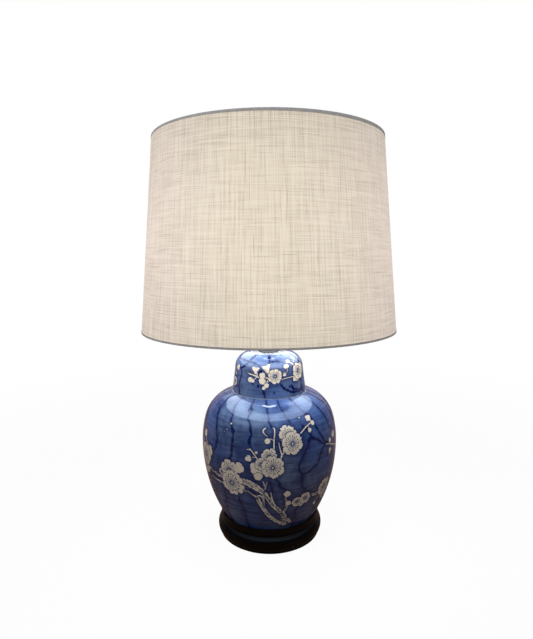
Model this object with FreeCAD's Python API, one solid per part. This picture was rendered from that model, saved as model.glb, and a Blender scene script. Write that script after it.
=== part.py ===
"""Table lamp made from a lidded ginger jar on a turned wooden base, with a hardback drum shade.

Units are millimetres and +Z is up. The lamp's axis is Z, the table is z = 0 and -Y is the front.
Each piece is written to its own STEP file in parts/, in the place where it sits at rest.
"""
import FreeCAD
import Part
import math
import os

# ---- clearances ----
SCREW_GAP = 0.05  # round a threaded piece
RUNNING_GAP = 0.08  # round a shaft that turns
SLIDE_GAP = 0.3  # round the sliding sleeves
DRILL_GAP = 0.3  # round the pipe where it passes a piece
GLUE_GAP = 0.08  # between a wire and the shade it is glued to

# ---- wooden base and felt ----
FELT_THICKNESS = 1.5
FELT_INSET = 2.0
BASE_HEIGHT = 36.5
BASE_FOOT_RADIUS = 78.0
BASE_FOOT_HEIGHT = 4.0
BASE_STEP = 1.4
BASE_BULGE_RADIUS = 82.0
BASE_BULGE_HEIGHT = 19.0
BASE_BULGE_WIDEST = 8.4
BASE_BULGE_TOP_RADIUS = 77.8
BASE_GROOVE_RADIUS = 75.6
BASE_GROOVE_HEIGHT = 3.2
BASE_LIP_RADIUS = 77.0
BASE_LIP_FLAT = 0.9
BASE_CAVITY_RADIUS = 45.0
BASE_CAVITY_DEPTH = 14.0
JAR_RECESS_DEPTH = 8.0
JAR_RECESS_GAP = 0.7

# ---- cord bushing in the back of the base ----
BUSHING_BORE_RADIUS = 3.2
BUSHING_WALL = 1.5
BUSHING_LENGTH = 14.0
BUSHING_FLANGE_RADIUS = 5.9
BUSHING_FLANGE_THICKNESS = 1.6
BUSHING_SINK = 4.3

# ---- threaded pipe and its fasteners ----
PIPE_RADIUS = 4.9
PIPE_BORE_RADIUS = 3.2
PIPE_STICK_OUT = 2.5
BASE_WASHER_RADIUS = 14.0
BASE_WASHER_THICKNESS = 1.5
NUT_ACROSS_FLATS = 14.0
NUT_THICKNESS = 5.0
NUT_CHAMFER = 0.6

# ---- porcelain jar ----
JAR_WALL = 5.0
JAR_HEIGHT = 198.6
JAR_FOOT_RADIUS = 69.9
JAR_FOOT_WIDTH = 8.0
JAR_FOOT_RECESS = 3.0
JAR_FLOOR = 6.0
JAR_BELLY_RADIUS = 104.8
JAR_BELLY_HEIGHT = 122.0
JAR_UPPER_CURVE = 145.0
JAR_SHOULDER_ANGLE = 15.2
JAR_LEDGE_RADIUS = 57.6
JAR_NECK_RADIUS = 47.5
JAR_NECK_HEIGHT = 16.0
JAR_HOLE_RADIUS = 7.0

# ---- porcelain lid ----
LID_HEIGHT = 60.6
LID_WALL = 4.0
LID_RIM_RADIUS = 57.1
LID_RIM_ROUND = 1.2
LID_WALL_RADIUS = 52.4
LID_CORNER = 24.0
LID_FLARE = 0.45
LID_HOLE_RADIUS = 6.5

# ---- metal neck ----
CUSHION_RADIUS = 12.0
CUSHION_THICKNESS = 1.2
CAP_RADIUS = 15.6
CAP_SHOULDER_RADIUS = 11.5
CAP_THICKNESS = 0.9
CAP_RISE = 2.6
CAP_LIFT = 0.3
NECK_RADIUS = 8.6
NECK_WAIST_RADIUS = 6.9
NECK_BEAD = 2.0
NECK_HEIGHT = 12.0

# ---- harp and its saddle ----
SADDLE_THICKNESS = 1.5
SADDLE_WIDTH = 12.0
SADDLE_CENTRE_RADIUS = 10.0
SADDLE_SPAN = 51.0
SADDLE_BEND = 3.5
SADDLE_RISE = 6.0
TONGUE_WIDTH = 6.0
TONGUE_HEIGHT = 10.5
HARP_WIRE_RADIUS = 1.6
HARP_WIDTH = 114.0
HARP_FOOT_DEPTH = 5.0
HARP_FOOT_WIDTH = 8.0
HARP_FOOT_HEIGHT = 12.0
HARP_LEG_LENGTH = 17.0
HARP_FLARE_CURVE = 40.0
HARP_BOW_CURVE = 256.8
HARP_SHOULDER_CURVE = 40.0
HARP_TOP_FLAT = 16.0
SLEEVE_WALL = 0.7
SLEEVE_HEIGHT = 14.0
STUD_RADIUS = 3.15
STUD_HEIGHT = 14.0
STUD_HUB_RADIUS = 5.5
STUD_SEAT_RADIUS = 8.0
STUD_SEAT_THICKNESS = 1.5
STUD_HUB_WALL = 1.6

# ---- finial ----
FINIAL_HEIGHT = 31.0
FINIAL_BASE_RADIUS = 7.4
FINIAL_BASE_HEIGHT = 2.4
FINIAL_NECK_RADIUS = 4.9
FINIAL_NECK_HEIGHT = 3.6
FINIAL_BALL_RADIUS = 8.6
FINIAL_TIP_RADIUS = 2.6
FINIAL_HOLE_DEPTH = 13.2

# ---- lamp socket ----
SOCKET_HUB_RADIUS = 7.5
SOCKET_HUB_HEIGHT = 4.5
SOCKET_CAP_RADIUS = 17.4
SOCKET_CAP_HEIGHT = 20.5
SOCKET_CAP_RIM = 6.0
SOCKET_WALL = 0.7
SHELL_HEIGHT = 41.0
SHELL_BEAD = 0.6
SHELL_BEAD_HEIGHT = 3.0
LINER_TUBE_WALL = 0.6
INTERIOR_FOOT_RADIUS = 10.0
INTERIOR_HEIGHT = 18.0
INTERIOR_FLAT = 10.6
INTERIOR_FLAT_HEIGHT = 14.0
SCREW_SHELL_HEIGHT = 23.0
SCREW_SHELL_WALL = 0.4
SCREW_SHELL_HOLE = 5.1
CONTACT_RADIUS = 3.6
CONTACT_THICKNESS = 0.8
TERMINAL_RADIUS = 3.0
TERMINAL_HEAD = 2.2
TERMINAL_HEIGHT = 5.0
SET_SCREW_RADIUS = 1.5
SET_SCREW_LENGTH = 3.2

# ---- turn switch ----
SPINDLE_RADIUS = 1.9
SPINDLE_DEPTH = 9.0
SPINDLE_REACH = 15.0
SWITCH_HEIGHT = 9.5
KNOB_RADIUS = 6.2
KNOB_LENGTH = 11.0
KNOB_FLUTES = 10
KNOB_FLUTE_RADIUS = 0.9
KNOB_GRIP = 7.0
KNOB_END_WALL = 1.9

# ---- light bulb ----
BULB_RADIUS = 30.0
BULB_LENGTH = 112.7
BULB_NECK_RADIUS = 13.5
BULB_NECK_HEIGHT = 31.7
BULB_GLASS = 1.0
BULB_CAP_RADIUS = 13.05
BULB_CAP_START = 4.6
BULB_CAP_LENGTH = 23.0
BULB_CAP_WALL = 0.4
BULB_CAP_CHAMFER = 1.6
BULB_TIP_RADIUS = 3.2
BULB_TIP_HEIGHT = 1.4
BULB_INSULATOR_RADIUS = 8.0

# ---- drum shade ----
SHADE_HEIGHT = 275.4
SHADE_TOP_RADIUS = 167.6
SHADE_BOTTOM_RADIUS = 190.5
SHADE_DROP = 29.2
LINEN_THICKNESS = 0.6
LINER_THICKNESS = 0.5
TAPE_THICKNESS = 0.4
TOP_TAPE_WIDTH = 5.0
BOTTOM_TAPE_WIDTH = 3.2
TAPE_TURN_IN = 4.2
RING_WIRE_RADIUS = 1.5
ARM_COUNT = 3
ARM_WIRE_RADIUS = 1.5
ARM_FIRST_ANGLE = 90.0
ARM_LEVEL_RUN = 14.0
ARM_SLOPE_RUN = 32.0
ARM_BEND = 8.0
HUB_RADIUS = 14.0
HUB_THICKNESS = 1.8
HUB_WELD_RUN = 4.5

# ---- heights that follow from the sizes ----
BASE_BOTTOM = FELT_THICKNESS
BASE_TOP = BASE_BOTTOM + BASE_HEIGHT
CAVITY_TOP = BASE_BOTTOM + BASE_CAVITY_DEPTH
JAR_SEAT = BASE_TOP - JAR_RECESS_DEPTH
JAR_LEDGE = JAR_SEAT + JAR_HEIGHT
LID_TOP = JAR_LEDGE + LID_HEIGHT
CAP_SEAT = LID_TOP + CUSHION_THICKNESS
NECK_BOTTOM = CAP_SEAT + CAP_RISE
SADDLE_BOTTOM = NECK_BOTTOM + NECK_HEIGHT
SOCKET_BOTTOM = SADDLE_BOTTOM + SADDLE_THICKNESS
SHOULDER_HEIGHT = SADDLE_BOTTOM + SADDLE_RISE
SHELL_BOTTOM = SOCKET_BOTTOM + SOCKET_CAP_HEIGHT - SOCKET_CAP_RIM + SOCKET_WALL
INTERIOR_TOP = SHELL_BOTTOM + INTERIOR_HEIGHT
BULB_TIP = INTERIOR_TOP + CONTACT_THICKNESS + SLIDE_GAP
PIPE_TOP = SOCKET_BOTTOM + SOCKET_HUB_HEIGHT + PIPE_STICK_OUT
WASHER_BOTTOM = CAVITY_TOP - BASE_WASHER_THICKNESS
NUT_BOTTOM = WASHER_BOTTOM - NUT_THICKNESS
PIPE_BOTTOM = NUT_BOTTOM - PIPE_STICK_OUT
CORD_HEIGHT = BASE_BOTTOM + BASE_CAVITY_DEPTH / 2
SWITCH_Z = SHELL_BOTTOM + SWITCH_HEIGHT

# ---- radii that follow from the sizes ----
PIPE_HOLE = PIPE_RADIUS + DRILL_GAP
SHELL_RADIUS = SOCKET_CAP_RADIUS - SOCKET_WALL
SHELL_INNER = SHELL_RADIUS - SOCKET_WALL
TUBE_INNER = SHELL_INNER - SCREW_GAP - LINER_TUBE_WALL
INTERIOR_RADIUS = TUBE_INNER - DRILL_GAP
SCREW_SHELL_INNER = BULB_CAP_RADIUS + RUNNING_GAP
TONGUE_X = SADDLE_SPAN / 2 - SADDLE_THICKNESS / 2


def vector(r, z):
    """A point of the half section in the XZ plane."""
    return FreeCAD.Vector(r, 0, z)


class Section:
    """Half section of a round piece, drawn point by point and spun about the lamp's axis."""

    def __init__(self, r, z):
        self.first = vector(r, z)
        self.last = self.first
        self.edges = []

    def line(self, r, z):
        end = vector(r, z)
        self.edges.append(Part.makeLine(self.last, end))
        self.last = end
        return self

    def arc(self, middle, end):
        through = vector(*middle)
        finish = vector(*end)
        self.edges.append(Part.Arc(self.last, through, finish).toShape())
        self.last = finish
        return self

    def spin(self):
        if self.last.distanceToPoint(self.first) > 1e-6:
            self.line(self.first.x, self.first.z)
        face = Part.Face(Part.Wire(self.edges))
        return face.revolve(FreeCAD.Vector(0, 0, 0), FreeCAD.Vector(0, 0, 1), 360)


def on_circle(centre, radius, degrees):
    """A point of a circle in the half section, from its centre and an angle above level."""
    angle = math.radians(degrees)
    return centre[0] + radius * math.cos(angle), centre[1] + radius * math.sin(angle)


def corner_middle(side, top):
    """Middle point of a round corner that starts upright at its side and ends level at its top."""
    share = math.cos(math.radians(45))
    return top[0] + share * (side[0] - top[0]), side[1] + share * (top[1] - side[1])


def ring(inner, outer, bottom, top):
    """A plain washer or tube about the lamp's axis."""
    return Section(inner, bottom).line(outer, bottom).line(outer, top).line(inner, top).spin()


def drill(radius, start, end):
    """A round bar from one point to another, to cut a hole or to make a pin."""
    way = end - start
    return Part.makeCylinder(radius, way.Length, start, way)


def block(x, y, z):
    """A box between pairs of coordinates."""
    return Part.makeBox(x[1] - x[0], y[1] - y[0], z[1] - z[0], FreeCAD.Vector(x[0], y[0], z[0]))


def mirrored(shape):
    return shape.mirror(FreeCAD.Vector(0, 0, 0), FreeCAD.Vector(1, 0, 0))


# ---- base ----
def base_bulge():
    """Lower end, widest point and upper end of the bulge's round outline."""
    low = (BASE_FOOT_RADIUS + BASE_STEP, BASE_BOTTOM + BASE_FOOT_HEIGHT)
    high = (BASE_BULGE_TOP_RADIUS, low[1] + BASE_BULGE_HEIGHT)
    swell = (BASE_BULGE_RADIUS, low[1] + BASE_BULGE_WIDEST)
    return low, swell, high


def wooden_base():
    low, swell, high = base_bulge()
    groove_top = high[1] + BASE_GROOVE_HEIGHT
    recess = jar_radius(JAR_RECESS_DEPTH) + JAR_RECESS_GAP
    section = Section(BASE_CAVITY_RADIUS, BASE_BOTTOM)
    section.line(BASE_FOOT_RADIUS, BASE_BOTTOM).line(BASE_FOOT_RADIUS, low[1]).line(*low)
    section.arc(swell, high)
    section.arc(
        (BASE_GROOVE_RADIUS, high[1] + BASE_GROOVE_HEIGHT / 2),
        (BASE_BULGE_TOP_RADIUS - BASE_STEP, groove_top),
    )
    section.arc((BASE_LIP_RADIUS, (groove_top + BASE_TOP) / 2), (recess + BASE_LIP_FLAT, BASE_TOP))
    section.line(recess, BASE_TOP).line(JAR_FOOT_RADIUS + JAR_RECESS_GAP, JAR_SEAT)
    section.line(PIPE_HOLE, JAR_SEAT).line(PIPE_HOLE, CAVITY_TOP).line(BASE_CAVITY_RADIUS, CAVITY_TOP)
    base = section.spin()
    seat = FreeCAD.Vector(0, BASE_BULGE_RADIUS - BUSHING_SINK, CORD_HEIGHT)
    outside = FreeCAD.Vector(0, 2 * BASE_BULGE_RADIUS, CORD_HEIGHT)
    centre = FreeCAD.Vector(0, BASE_CAVITY_RADIUS / 2, CORD_HEIGHT)
    base = base.cut(drill(BUSHING_FLANGE_RADIUS + SLIDE_GAP, seat, outside))
    return base.cut(drill(BUSHING_BORE_RADIUS + BUSHING_WALL + SCREW_GAP, centre, seat))


def felt_pad():
    return Part.makeCylinder(BASE_FOOT_RADIUS - FELT_INSET, FELT_THICKNESS)


def cord_bushing():
    seat = BASE_BULGE_RADIUS - BUSHING_SINK
    inner = FreeCAD.Vector(0, seat - BUSHING_LENGTH, CORD_HEIGHT)
    shoulder = FreeCAD.Vector(0, seat, CORD_HEIGHT)
    outer = FreeCAD.Vector(0, seat + BUSHING_FLANGE_THICKNESS, CORD_HEIGHT)
    barrel = drill(BUSHING_BORE_RADIUS + BUSHING_WALL, inner, shoulder)
    flange = drill(BUSHING_FLANGE_RADIUS, shoulder, outer)
    return barrel.fuse(flange).cut(drill(BUSHING_BORE_RADIUS, inner, outer)).removeSplitter()


def base_washer():
    return ring(PIPE_HOLE, BASE_WASHER_RADIUS, WASHER_BOTTOM, CAVITY_TOP)


def base_nut():
    across_corners = NUT_ACROSS_FLATS / math.cos(math.radians(30)) / 2
    corners = [
        FreeCAD.Vector(*on_circle((0, 0), across_corners, 60 * step), NUT_BOTTOM) for step in range(7)
    ]
    hexagon = Part.Face(Part.makePolygon(corners)).extrude(FreeCAD.Vector(0, 0, NUT_THICKNESS))
    half = NUT_ACROSS_FLATS / 2
    top = NUT_BOTTOM + NUT_THICKNESS
    turned = Section(PIPE_RADIUS + SCREW_GAP, NUT_BOTTOM).line(half, NUT_BOTTOM)
    turned.line(across_corners, NUT_BOTTOM + NUT_CHAMFER).line(across_corners, top)
    turned.line(PIPE_RADIUS + SCREW_GAP, top)
    return hexagon.common(turned.spin())


def lamp_pipe():
    return ring(PIPE_BORE_RADIUS, PIPE_RADIUS, PIPE_BOTTOM, PIPE_TOP)


# ---- jar ----
def lower_curve():
    """Radius of the jar's round side below the belly, which starts upright at the belly."""
    inset = JAR_BELLY_RADIUS - JAR_FOOT_RADIUS
    return (inset**2 + JAR_BELLY_HEIGHT**2) / (2 * inset)


def jar_radius(height):
    """Outer radius of the jar at a height above its foot, below the belly."""
    curve = lower_curve()
    return JAR_BELLY_RADIUS - curve + math.sqrt(curve**2 - (JAR_BELLY_HEIGHT - height) ** 2)


def shoulder_curve():
    """Centre and radius of the shoulder, tangent to the upper side and ending at the ledge."""
    upper = (JAR_BELLY_RADIUS - JAR_UPPER_CURVE, JAR_SEAT + JAR_BELLY_HEIGHT)
    join = on_circle(upper, JAR_UPPER_CURVE, JAR_SHOULDER_ANGLE)
    normal = on_circle((0, 0), 1, JAR_SHOULDER_ANGLE)
    across = join[0] - JAR_LEDGE_RADIUS
    down = join[1] - JAR_LEDGE
    radius = (across**2 + down**2) / (2 * (across * normal[0] + down * normal[1]))
    return (join[0] - radius * normal[0], join[1] - radius * normal[1]), radius


def jar_body():
    belly = JAR_SEAT + JAR_BELLY_HEIGHT
    upper = (JAR_BELLY_RADIUS - JAR_UPPER_CURVE, belly)
    centre, radius = shoulder_curve()
    end_angle = math.degrees(math.atan2(JAR_LEDGE - centre[1], JAR_LEDGE_RADIUS - centre[0]))
    mouth = JAR_LEDGE + JAR_NECK_HEIGHT
    inner_neck = JAR_NECK_RADIUS - JAR_WALL
    foot_inner = JAR_FOOT_RADIUS - JAR_FOOT_WIDTH
    floor = JAR_FOOT_RECESS + JAR_FLOOR
    section = Section(JAR_HOLE_RADIUS, JAR_SEAT + JAR_FOOT_RECESS)
    section.line(foot_inner, JAR_SEAT + JAR_FOOT_RECESS).line(foot_inner, JAR_SEAT)
    section.line(JAR_FOOT_RADIUS, JAR_SEAT)
    half = JAR_BELLY_HEIGHT / 2
    section.arc((jar_radius(half), JAR_SEAT + half), (JAR_BELLY_RADIUS, belly))
    section.arc(
        on_circle(upper, JAR_UPPER_CURVE, JAR_SHOULDER_ANGLE / 2),
        on_circle(upper, JAR_UPPER_CURVE, JAR_SHOULDER_ANGLE),
    )
    section.arc(
        on_circle(centre, radius, (JAR_SHOULDER_ANGLE + end_angle) / 2), (JAR_LEDGE_RADIUS, JAR_LEDGE)
    )
    section.line(JAR_NECK_RADIUS, JAR_LEDGE).line(JAR_NECK_RADIUS, mouth).line(inner_neck, mouth)
    section.line(inner_neck, JAR_LEDGE - JAR_WALL)
    section.line(*on_circle(centre, radius - JAR_WALL, (JAR_SHOULDER_ANGLE + end_angle) / 2))
    section.line(*on_circle(upper, JAR_UPPER_CURVE - JAR_WALL, JAR_SHOULDER_ANGLE))
    section.line(JAR_BELLY_RADIUS - JAR_WALL, belly)
    section.line(jar_radius(half) - JAR_WALL, JAR_SEAT + half)
    section.line(jar_radius(floor) - JAR_WALL, JAR_SEAT + floor)
    section.line(JAR_HOLE_RADIUS, JAR_SEAT + floor)
    return section.spin()


def jar_lid():
    corner = (LID_WALL_RADIUS - LID_CORNER, LID_TOP - LID_CORNER)
    inner_top = LID_TOP - LID_WALL
    rim_inner = LID_RIM_RADIUS - LID_WALL
    rim_top = JAR_LEDGE + LID_RIM_ROUND
    middle = (
        LID_WALL_RADIUS + LID_FLARE * (LID_RIM_RADIUS - LID_WALL_RADIUS),
        (rim_top + corner[1]) / 2,
    )
    section = Section(rim_inner, JAR_LEDGE).line(LID_RIM_RADIUS - LID_RIM_ROUND, JAR_LEDGE)
    section.arc(
        on_circle((LID_RIM_RADIUS - LID_RIM_ROUND, rim_top), LID_RIM_ROUND, -45),
        (LID_RIM_RADIUS, rim_top),
    )
    section.arc(middle, (LID_WALL_RADIUS, corner[1]))
    section.arc(on_circle(corner, LID_CORNER, 45), (corner[0], LID_TOP))
    section.line(LID_HOLE_RADIUS, LID_TOP).line(LID_HOLE_RADIUS, inner_top)
    section.line(corner[0], inner_top).line(*on_circle(corner, LID_CORNER - LID_WALL, 45))
    section.line(LID_WALL_RADIUS - LID_WALL, corner[1])
    return section.spin()


# ---- metal neck ----
def lid_cushion():
    return ring(PIPE_HOLE, CUSHION_RADIUS, LID_TOP, CAP_SEAT)


def vase_cap():
    top = NECK_BOTTOM
    edge = LID_TOP + CAP_LIFT
    section = Section(PIPE_HOLE, CAP_SEAT).line(CUSHION_RADIUS + SLIDE_GAP, CAP_SEAT)
    section.line(CAP_RADIUS - CAP_THICKNESS, edge).line(CAP_RADIUS, edge)
    shoulder = (CAP_SHOULDER_RADIUS, top)
    section.arc(corner_middle((CAP_RADIUS, edge), shoulder), shoulder)
    return section.line(PIPE_HOLE, top).spin()


def neck_spool():
    top = SADDLE_BOTTOM
    low = NECK_BOTTOM + NECK_BEAD
    high = top - NECK_BEAD
    bead = NECK_BEAD / 2
    section = Section(PIPE_HOLE, NECK_BOTTOM).line(NECK_RADIUS - bead, NECK_BOTTOM)
    section.arc((NECK_RADIUS, NECK_BOTTOM + bead), (NECK_RADIUS - bead, low))
    section.arc((NECK_WAIST_RADIUS, (low + high) / 2), (NECK_RADIUS - bead, high))
    section.arc((NECK_RADIUS, top - bead), (NECK_RADIUS - bead, top))
    return section.line(PIPE_HOLE, top).spin()


# ---- harp ----
def saddle_strip(width, bottom, top):
    """One upright end of the saddle strip, between two heights."""
    x = (TONGUE_X - SADDLE_THICKNESS / 2, TONGUE_X + SADDLE_THICKNESS / 2)
    return block(x, (-width / 2, width / 2), (bottom, top))


def harp_saddle():
    """Steel strip with a round centre, whose ends are bent up into tongues with shoulders."""
    outer = TONGUE_X + SADDLE_THICKNESS / 2
    inner = outer - SADDLE_THICKNESS
    turn = (outer - SADDLE_BEND, SADDLE_BOTTOM + SADDLE_BEND)
    tight = SADDLE_BEND - SADDLE_THICKNESS
    section = Section(0, SADDLE_BOTTOM).line(turn[0], SADDLE_BOTTOM)
    section.arc(on_circle(turn, SADDLE_BEND, -45), (outer, turn[1]))
    section.line(outer, SHOULDER_HEIGHT).line(inner, SHOULDER_HEIGHT).line(inner, turn[1])
    section.arc(on_circle(turn, tight, -45), (turn[0], SOCKET_BOTTOM))
    section.line(0, SOCKET_BOTTOM).line(0, SADDLE_BOTTOM)
    half = Part.Face(Part.Wire(section.edges)).extrude(FreeCAD.Vector(0, SADDLE_WIDTH, 0))
    half.translate(FreeCAD.Vector(0, -SADDLE_WIDTH / 2, 0))
    half = half.fuse(saddle_strip(TONGUE_WIDTH, SHOULDER_HEIGHT, SHOULDER_HEIGHT + TONGUE_HEIGHT))
    centre = ring(PIPE_HOLE, SADDLE_CENTRE_RADIUS, SADDLE_BOTTOM, SOCKET_BOTTOM)
    saddle = half.fuse(mirrored(half)).fuse(centre)
    return saddle.cut(ring(0, PIPE_HOLE, SADDLE_BOTTOM, SOCKET_BOTTOM)).removeSplitter()


def harp_route():
    """Centre line of the right half of the harp wire, as points and arc middles in the XZ plane.

    The leg stands upright on its foot, flares outwards, bows through the widest point and
    turns over a rounded shoulder into the flat top.
    """
    foot_top = SHOULDER_HEIGHT + HARP_FOOT_HEIGHT
    flare_start = foot_top + HARP_LEG_LENGTH
    flare_centre = (TONGUE_X + HARP_FLARE_CURVE, flare_start)
    bow_x = HARP_WIDTH / 2 - HARP_WIRE_RADIUS - HARP_BOW_CURVE
    reach = HARP_FLARE_CURVE + HARP_BOW_CURVE
    bow_centre = (bow_x, flare_start + math.sqrt(reach**2 - (flare_centre[0] - bow_x) ** 2))
    flare_turn = math.degrees(
        math.atan2(bow_centre[1] - flare_centre[1], bow_centre[0] - flare_centre[0])
    )
    inner = HARP_BOW_CURVE - HARP_SHOULDER_CURVE
    across = HARP_TOP_FLAT / 2 - bow_x
    shoulder_centre = (HARP_TOP_FLAT / 2, bow_centre[1] + math.sqrt(inner**2 - across**2))
    bow_end = math.degrees(math.atan2(shoulder_centre[1] - bow_centre[1], across))
    return {
        "foot": (TONGUE_X, foot_top),
        "flare": (TONGUE_X, flare_start),
        "flare_middle": on_circle(flare_centre, HARP_FLARE_CURVE, (180 + flare_turn) / 2),
        "bow": on_circle(flare_centre, HARP_FLARE_CURVE, flare_turn),
        "bow_middle": on_circle(bow_centre, HARP_BOW_CURVE, (flare_turn - 180 + bow_end) / 2),
        "shoulder": on_circle(bow_centre, HARP_BOW_CURVE, bow_end),
        "shoulder_middle": on_circle(shoulder_centre, HARP_SHOULDER_CURVE, (90 + bow_end) / 2),
        "top": (HARP_TOP_FLAT / 2, shoulder_centre[1] + HARP_SHOULDER_CURVE),
    }


WIRE_TOP = harp_route()["top"][1]
STUD_SEAT = WIRE_TOP + HARP_WIRE_RADIUS + STUD_HUB_WALL + STUD_SEAT_THICKNESS
HUB_TOP = STUD_SEAT + HUB_THICKNESS
SHADE_TOP = STUD_SEAT + SHADE_DROP
SHADE_BOTTOM = SHADE_TOP - SHADE_HEIGHT


def bent_wire(edges, start, direction, radius):
    """A round wire along tangent lines and arcs."""
    circle = Part.Wire(Part.makeCircle(radius, start, direction))
    return Part.Wire(edges).makePipeShell([circle], True, False)


def harp_wire():
    """Bent steel wire whose flattened ends slip over the saddle's tongues."""
    route = {name: vector(*point) for name, point in harp_route().items()}
    right = [
        Part.makeLine(route["foot"], route["flare"]),
        Part.Arc(route["flare"], route["flare_middle"], route["bow"]).toShape(),
        Part.Arc(route["bow"], route["bow_middle"], route["shoulder"]).toShape(),
        Part.Arc(route["shoulder"], route["shoulder_middle"], route["top"]).toShape(),
        Part.makeLine(route["top"], vector(0, route["top"].z)),
    ]
    half = bent_wire(right, route["foot"], FreeCAD.Vector(0, 0, 1), HARP_WIRE_RADIUS)
    x = (TONGUE_X - HARP_FOOT_DEPTH / 2, TONGUE_X + HARP_FOOT_DEPTH / 2)
    y = (-HARP_FOOT_WIDTH / 2, HARP_FOOT_WIDTH / 2)
    foot = block(x, y, (SHOULDER_HEIGHT, route["foot"].z))
    slot_x = SADDLE_THICKNESS / 2 + SLIDE_GAP
    slot_y = TONGUE_WIDTH / 2 + SLIDE_GAP
    slot = block(
        (TONGUE_X - slot_x, TONGUE_X + slot_x),
        (-slot_y, slot_y),
        (SHOULDER_HEIGHT, SHOULDER_HEIGHT + TONGUE_HEIGHT + SLIDE_GAP),
    )
    half = half.fuse(foot.cut(slot))
    return half.fuse(mirrored(half)).removeSplitter()


def harp_sleeve():
    """Square sleeve that drops over the harp's foot and locks it on the tongue."""
    depth = HARP_FOOT_DEPTH / 2 + SLIDE_GAP
    width = HARP_FOOT_WIDTH / 2 + SLIDE_GAP
    z = (SHOULDER_HEIGHT, SHOULDER_HEIGHT + SLEEVE_HEIGHT)
    outside = block(
        (TONGUE_X - depth - SLEEVE_WALL, TONGUE_X + depth + SLEEVE_WALL),
        (-width - SLEEVE_WALL, width + SLEEVE_WALL),
        z,
    )
    edges = [e for e in outside.Edges if abs(e.tangentAt(e.FirstParameter).z) > 0.9]
    outside = outside.makeFillet(SLEEVE_WALL, edges)
    return outside.cut(block((TONGUE_X - depth, TONGUE_X + depth), (-width, width), z))


def harp_stud():
    """Turned stud on the harp's top wire, with a seat for the shade."""
    bottom = WIRE_TOP - HARP_WIRE_RADIUS - STUD_HUB_WALL
    seat_bottom = STUD_SEAT - STUD_SEAT_THICKNESS
    section = Section(0, bottom).line(STUD_HUB_RADIUS, bottom).line(STUD_HUB_RADIUS, seat_bottom)
    section.line(STUD_SEAT_RADIUS, seat_bottom).line(STUD_SEAT_RADIUS, STUD_SEAT)
    section.line(STUD_RADIUS, STUD_SEAT).line(STUD_RADIUS, STUD_SEAT + STUD_HEIGHT)
    stud = section.line(0, STUD_SEAT + STUD_HEIGHT).spin()
    side = FreeCAD.Vector(2 * STUD_HUB_RADIUS, 0, WIRE_TOP)
    other = FreeCAD.Vector(-side.x, 0, WIRE_TOP)
    return stud.cut(drill(HARP_WIRE_RADIUS + SCREW_GAP, side, other))


def finial():
    """Turned knob with a ball and a small tip, screwed down on the stud."""
    hole = STUD_RADIUS + RUNNING_GAP
    neck = HUB_TOP + FINIAL_BASE_HEIGHT
    ball_bottom = neck + FINIAL_NECK_HEIGHT
    top = HUB_TOP + FINIAL_HEIGHT
    rise = math.sqrt(FINIAL_BALL_RADIUS**2 - FINIAL_NECK_RADIUS**2)
    ball = (0, ball_bottom + rise)
    tip_angle = math.degrees(math.acos(FINIAL_TIP_RADIUS / FINIAL_BALL_RADIUS))
    tip = on_circle(ball, FINIAL_BALL_RADIUS, tip_angle)
    section = Section(hole, HUB_TOP).line(FINIAL_BASE_RADIUS, HUB_TOP)
    section.line(FINIAL_BASE_RADIUS, HUB_TOP + FINIAL_BASE_HEIGHT / 2).line(FINIAL_NECK_RADIUS, neck)
    section.line(FINIAL_NECK_RADIUS, ball_bottom)
    section.arc(on_circle(ball, FINIAL_BALL_RADIUS, 0), tip)
    section.line(FINIAL_TIP_RADIUS, top - FINIAL_TIP_RADIUS)
    section.arc(on_circle((0, top - FINIAL_TIP_RADIUS), FINIAL_TIP_RADIUS, 45), (0, top))
    return section.line(0, HUB_TOP + FINIAL_HOLE_DEPTH).line(hole, HUB_TOP + FINIAL_HOLE_DEPTH).spin()


# ---- socket ----
def radial_hole(radius, height, angle, start=0.0, end=3 * SOCKET_CAP_RADIUS):
    """A bar that points out level from the axis, to cut a hole or to make a pin."""
    near = on_circle((0, 0), start, angle)
    far = on_circle((0, 0), end, angle)
    return drill(radius, FreeCAD.Vector(*near, height), FreeCAD.Vector(*far, height))


def socket_cap():
    """Spun cup with a threaded hub, which carries the socket on the pipe."""
    hub_top = SOCKET_BOTTOM + SOCKET_HUB_HEIGHT
    rim = SOCKET_BOTTOM + SOCKET_CAP_HEIGHT
    side = rim - SOCKET_CAP_RIM
    hole = PIPE_RADIUS + SCREW_GAP
    inner = SHELL_RADIUS + SCREW_GAP
    turn = SOCKET_CAP_RADIUS - SOCKET_HUB_RADIUS
    section = Section(hole, SOCKET_BOTTOM).line(SOCKET_HUB_RADIUS, SOCKET_BOTTOM)
    section.line(SOCKET_HUB_RADIUS, hub_top)
    section.arc(on_circle((SOCKET_HUB_RADIUS, side), turn, -45), (SOCKET_CAP_RADIUS, side))
    section.line(SOCKET_CAP_RADIUS, rim).line(inner, rim).line(inner, side)
    section.line(SOCKET_HUB_RADIUS, hub_top + SOCKET_WALL).line(hole, hub_top + SOCKET_WALL)
    cup = section.spin()
    return cup.cut(radial_hole(SET_SCREW_RADIUS + SCREW_GAP, SOCKET_BOTTOM + SOCKET_HUB_HEIGHT / 2, 90))


def set_screw():
    """Small screw in the cup's hub, which bears on the pipe."""
    height = SOCKET_BOTTOM + SOCKET_HUB_HEIGHT / 2
    start = PIPE_RADIUS + SCREW_GAP
    return radial_hole(SET_SCREW_RADIUS, height, 90, start, start + SET_SCREW_LENGTH)


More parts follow.
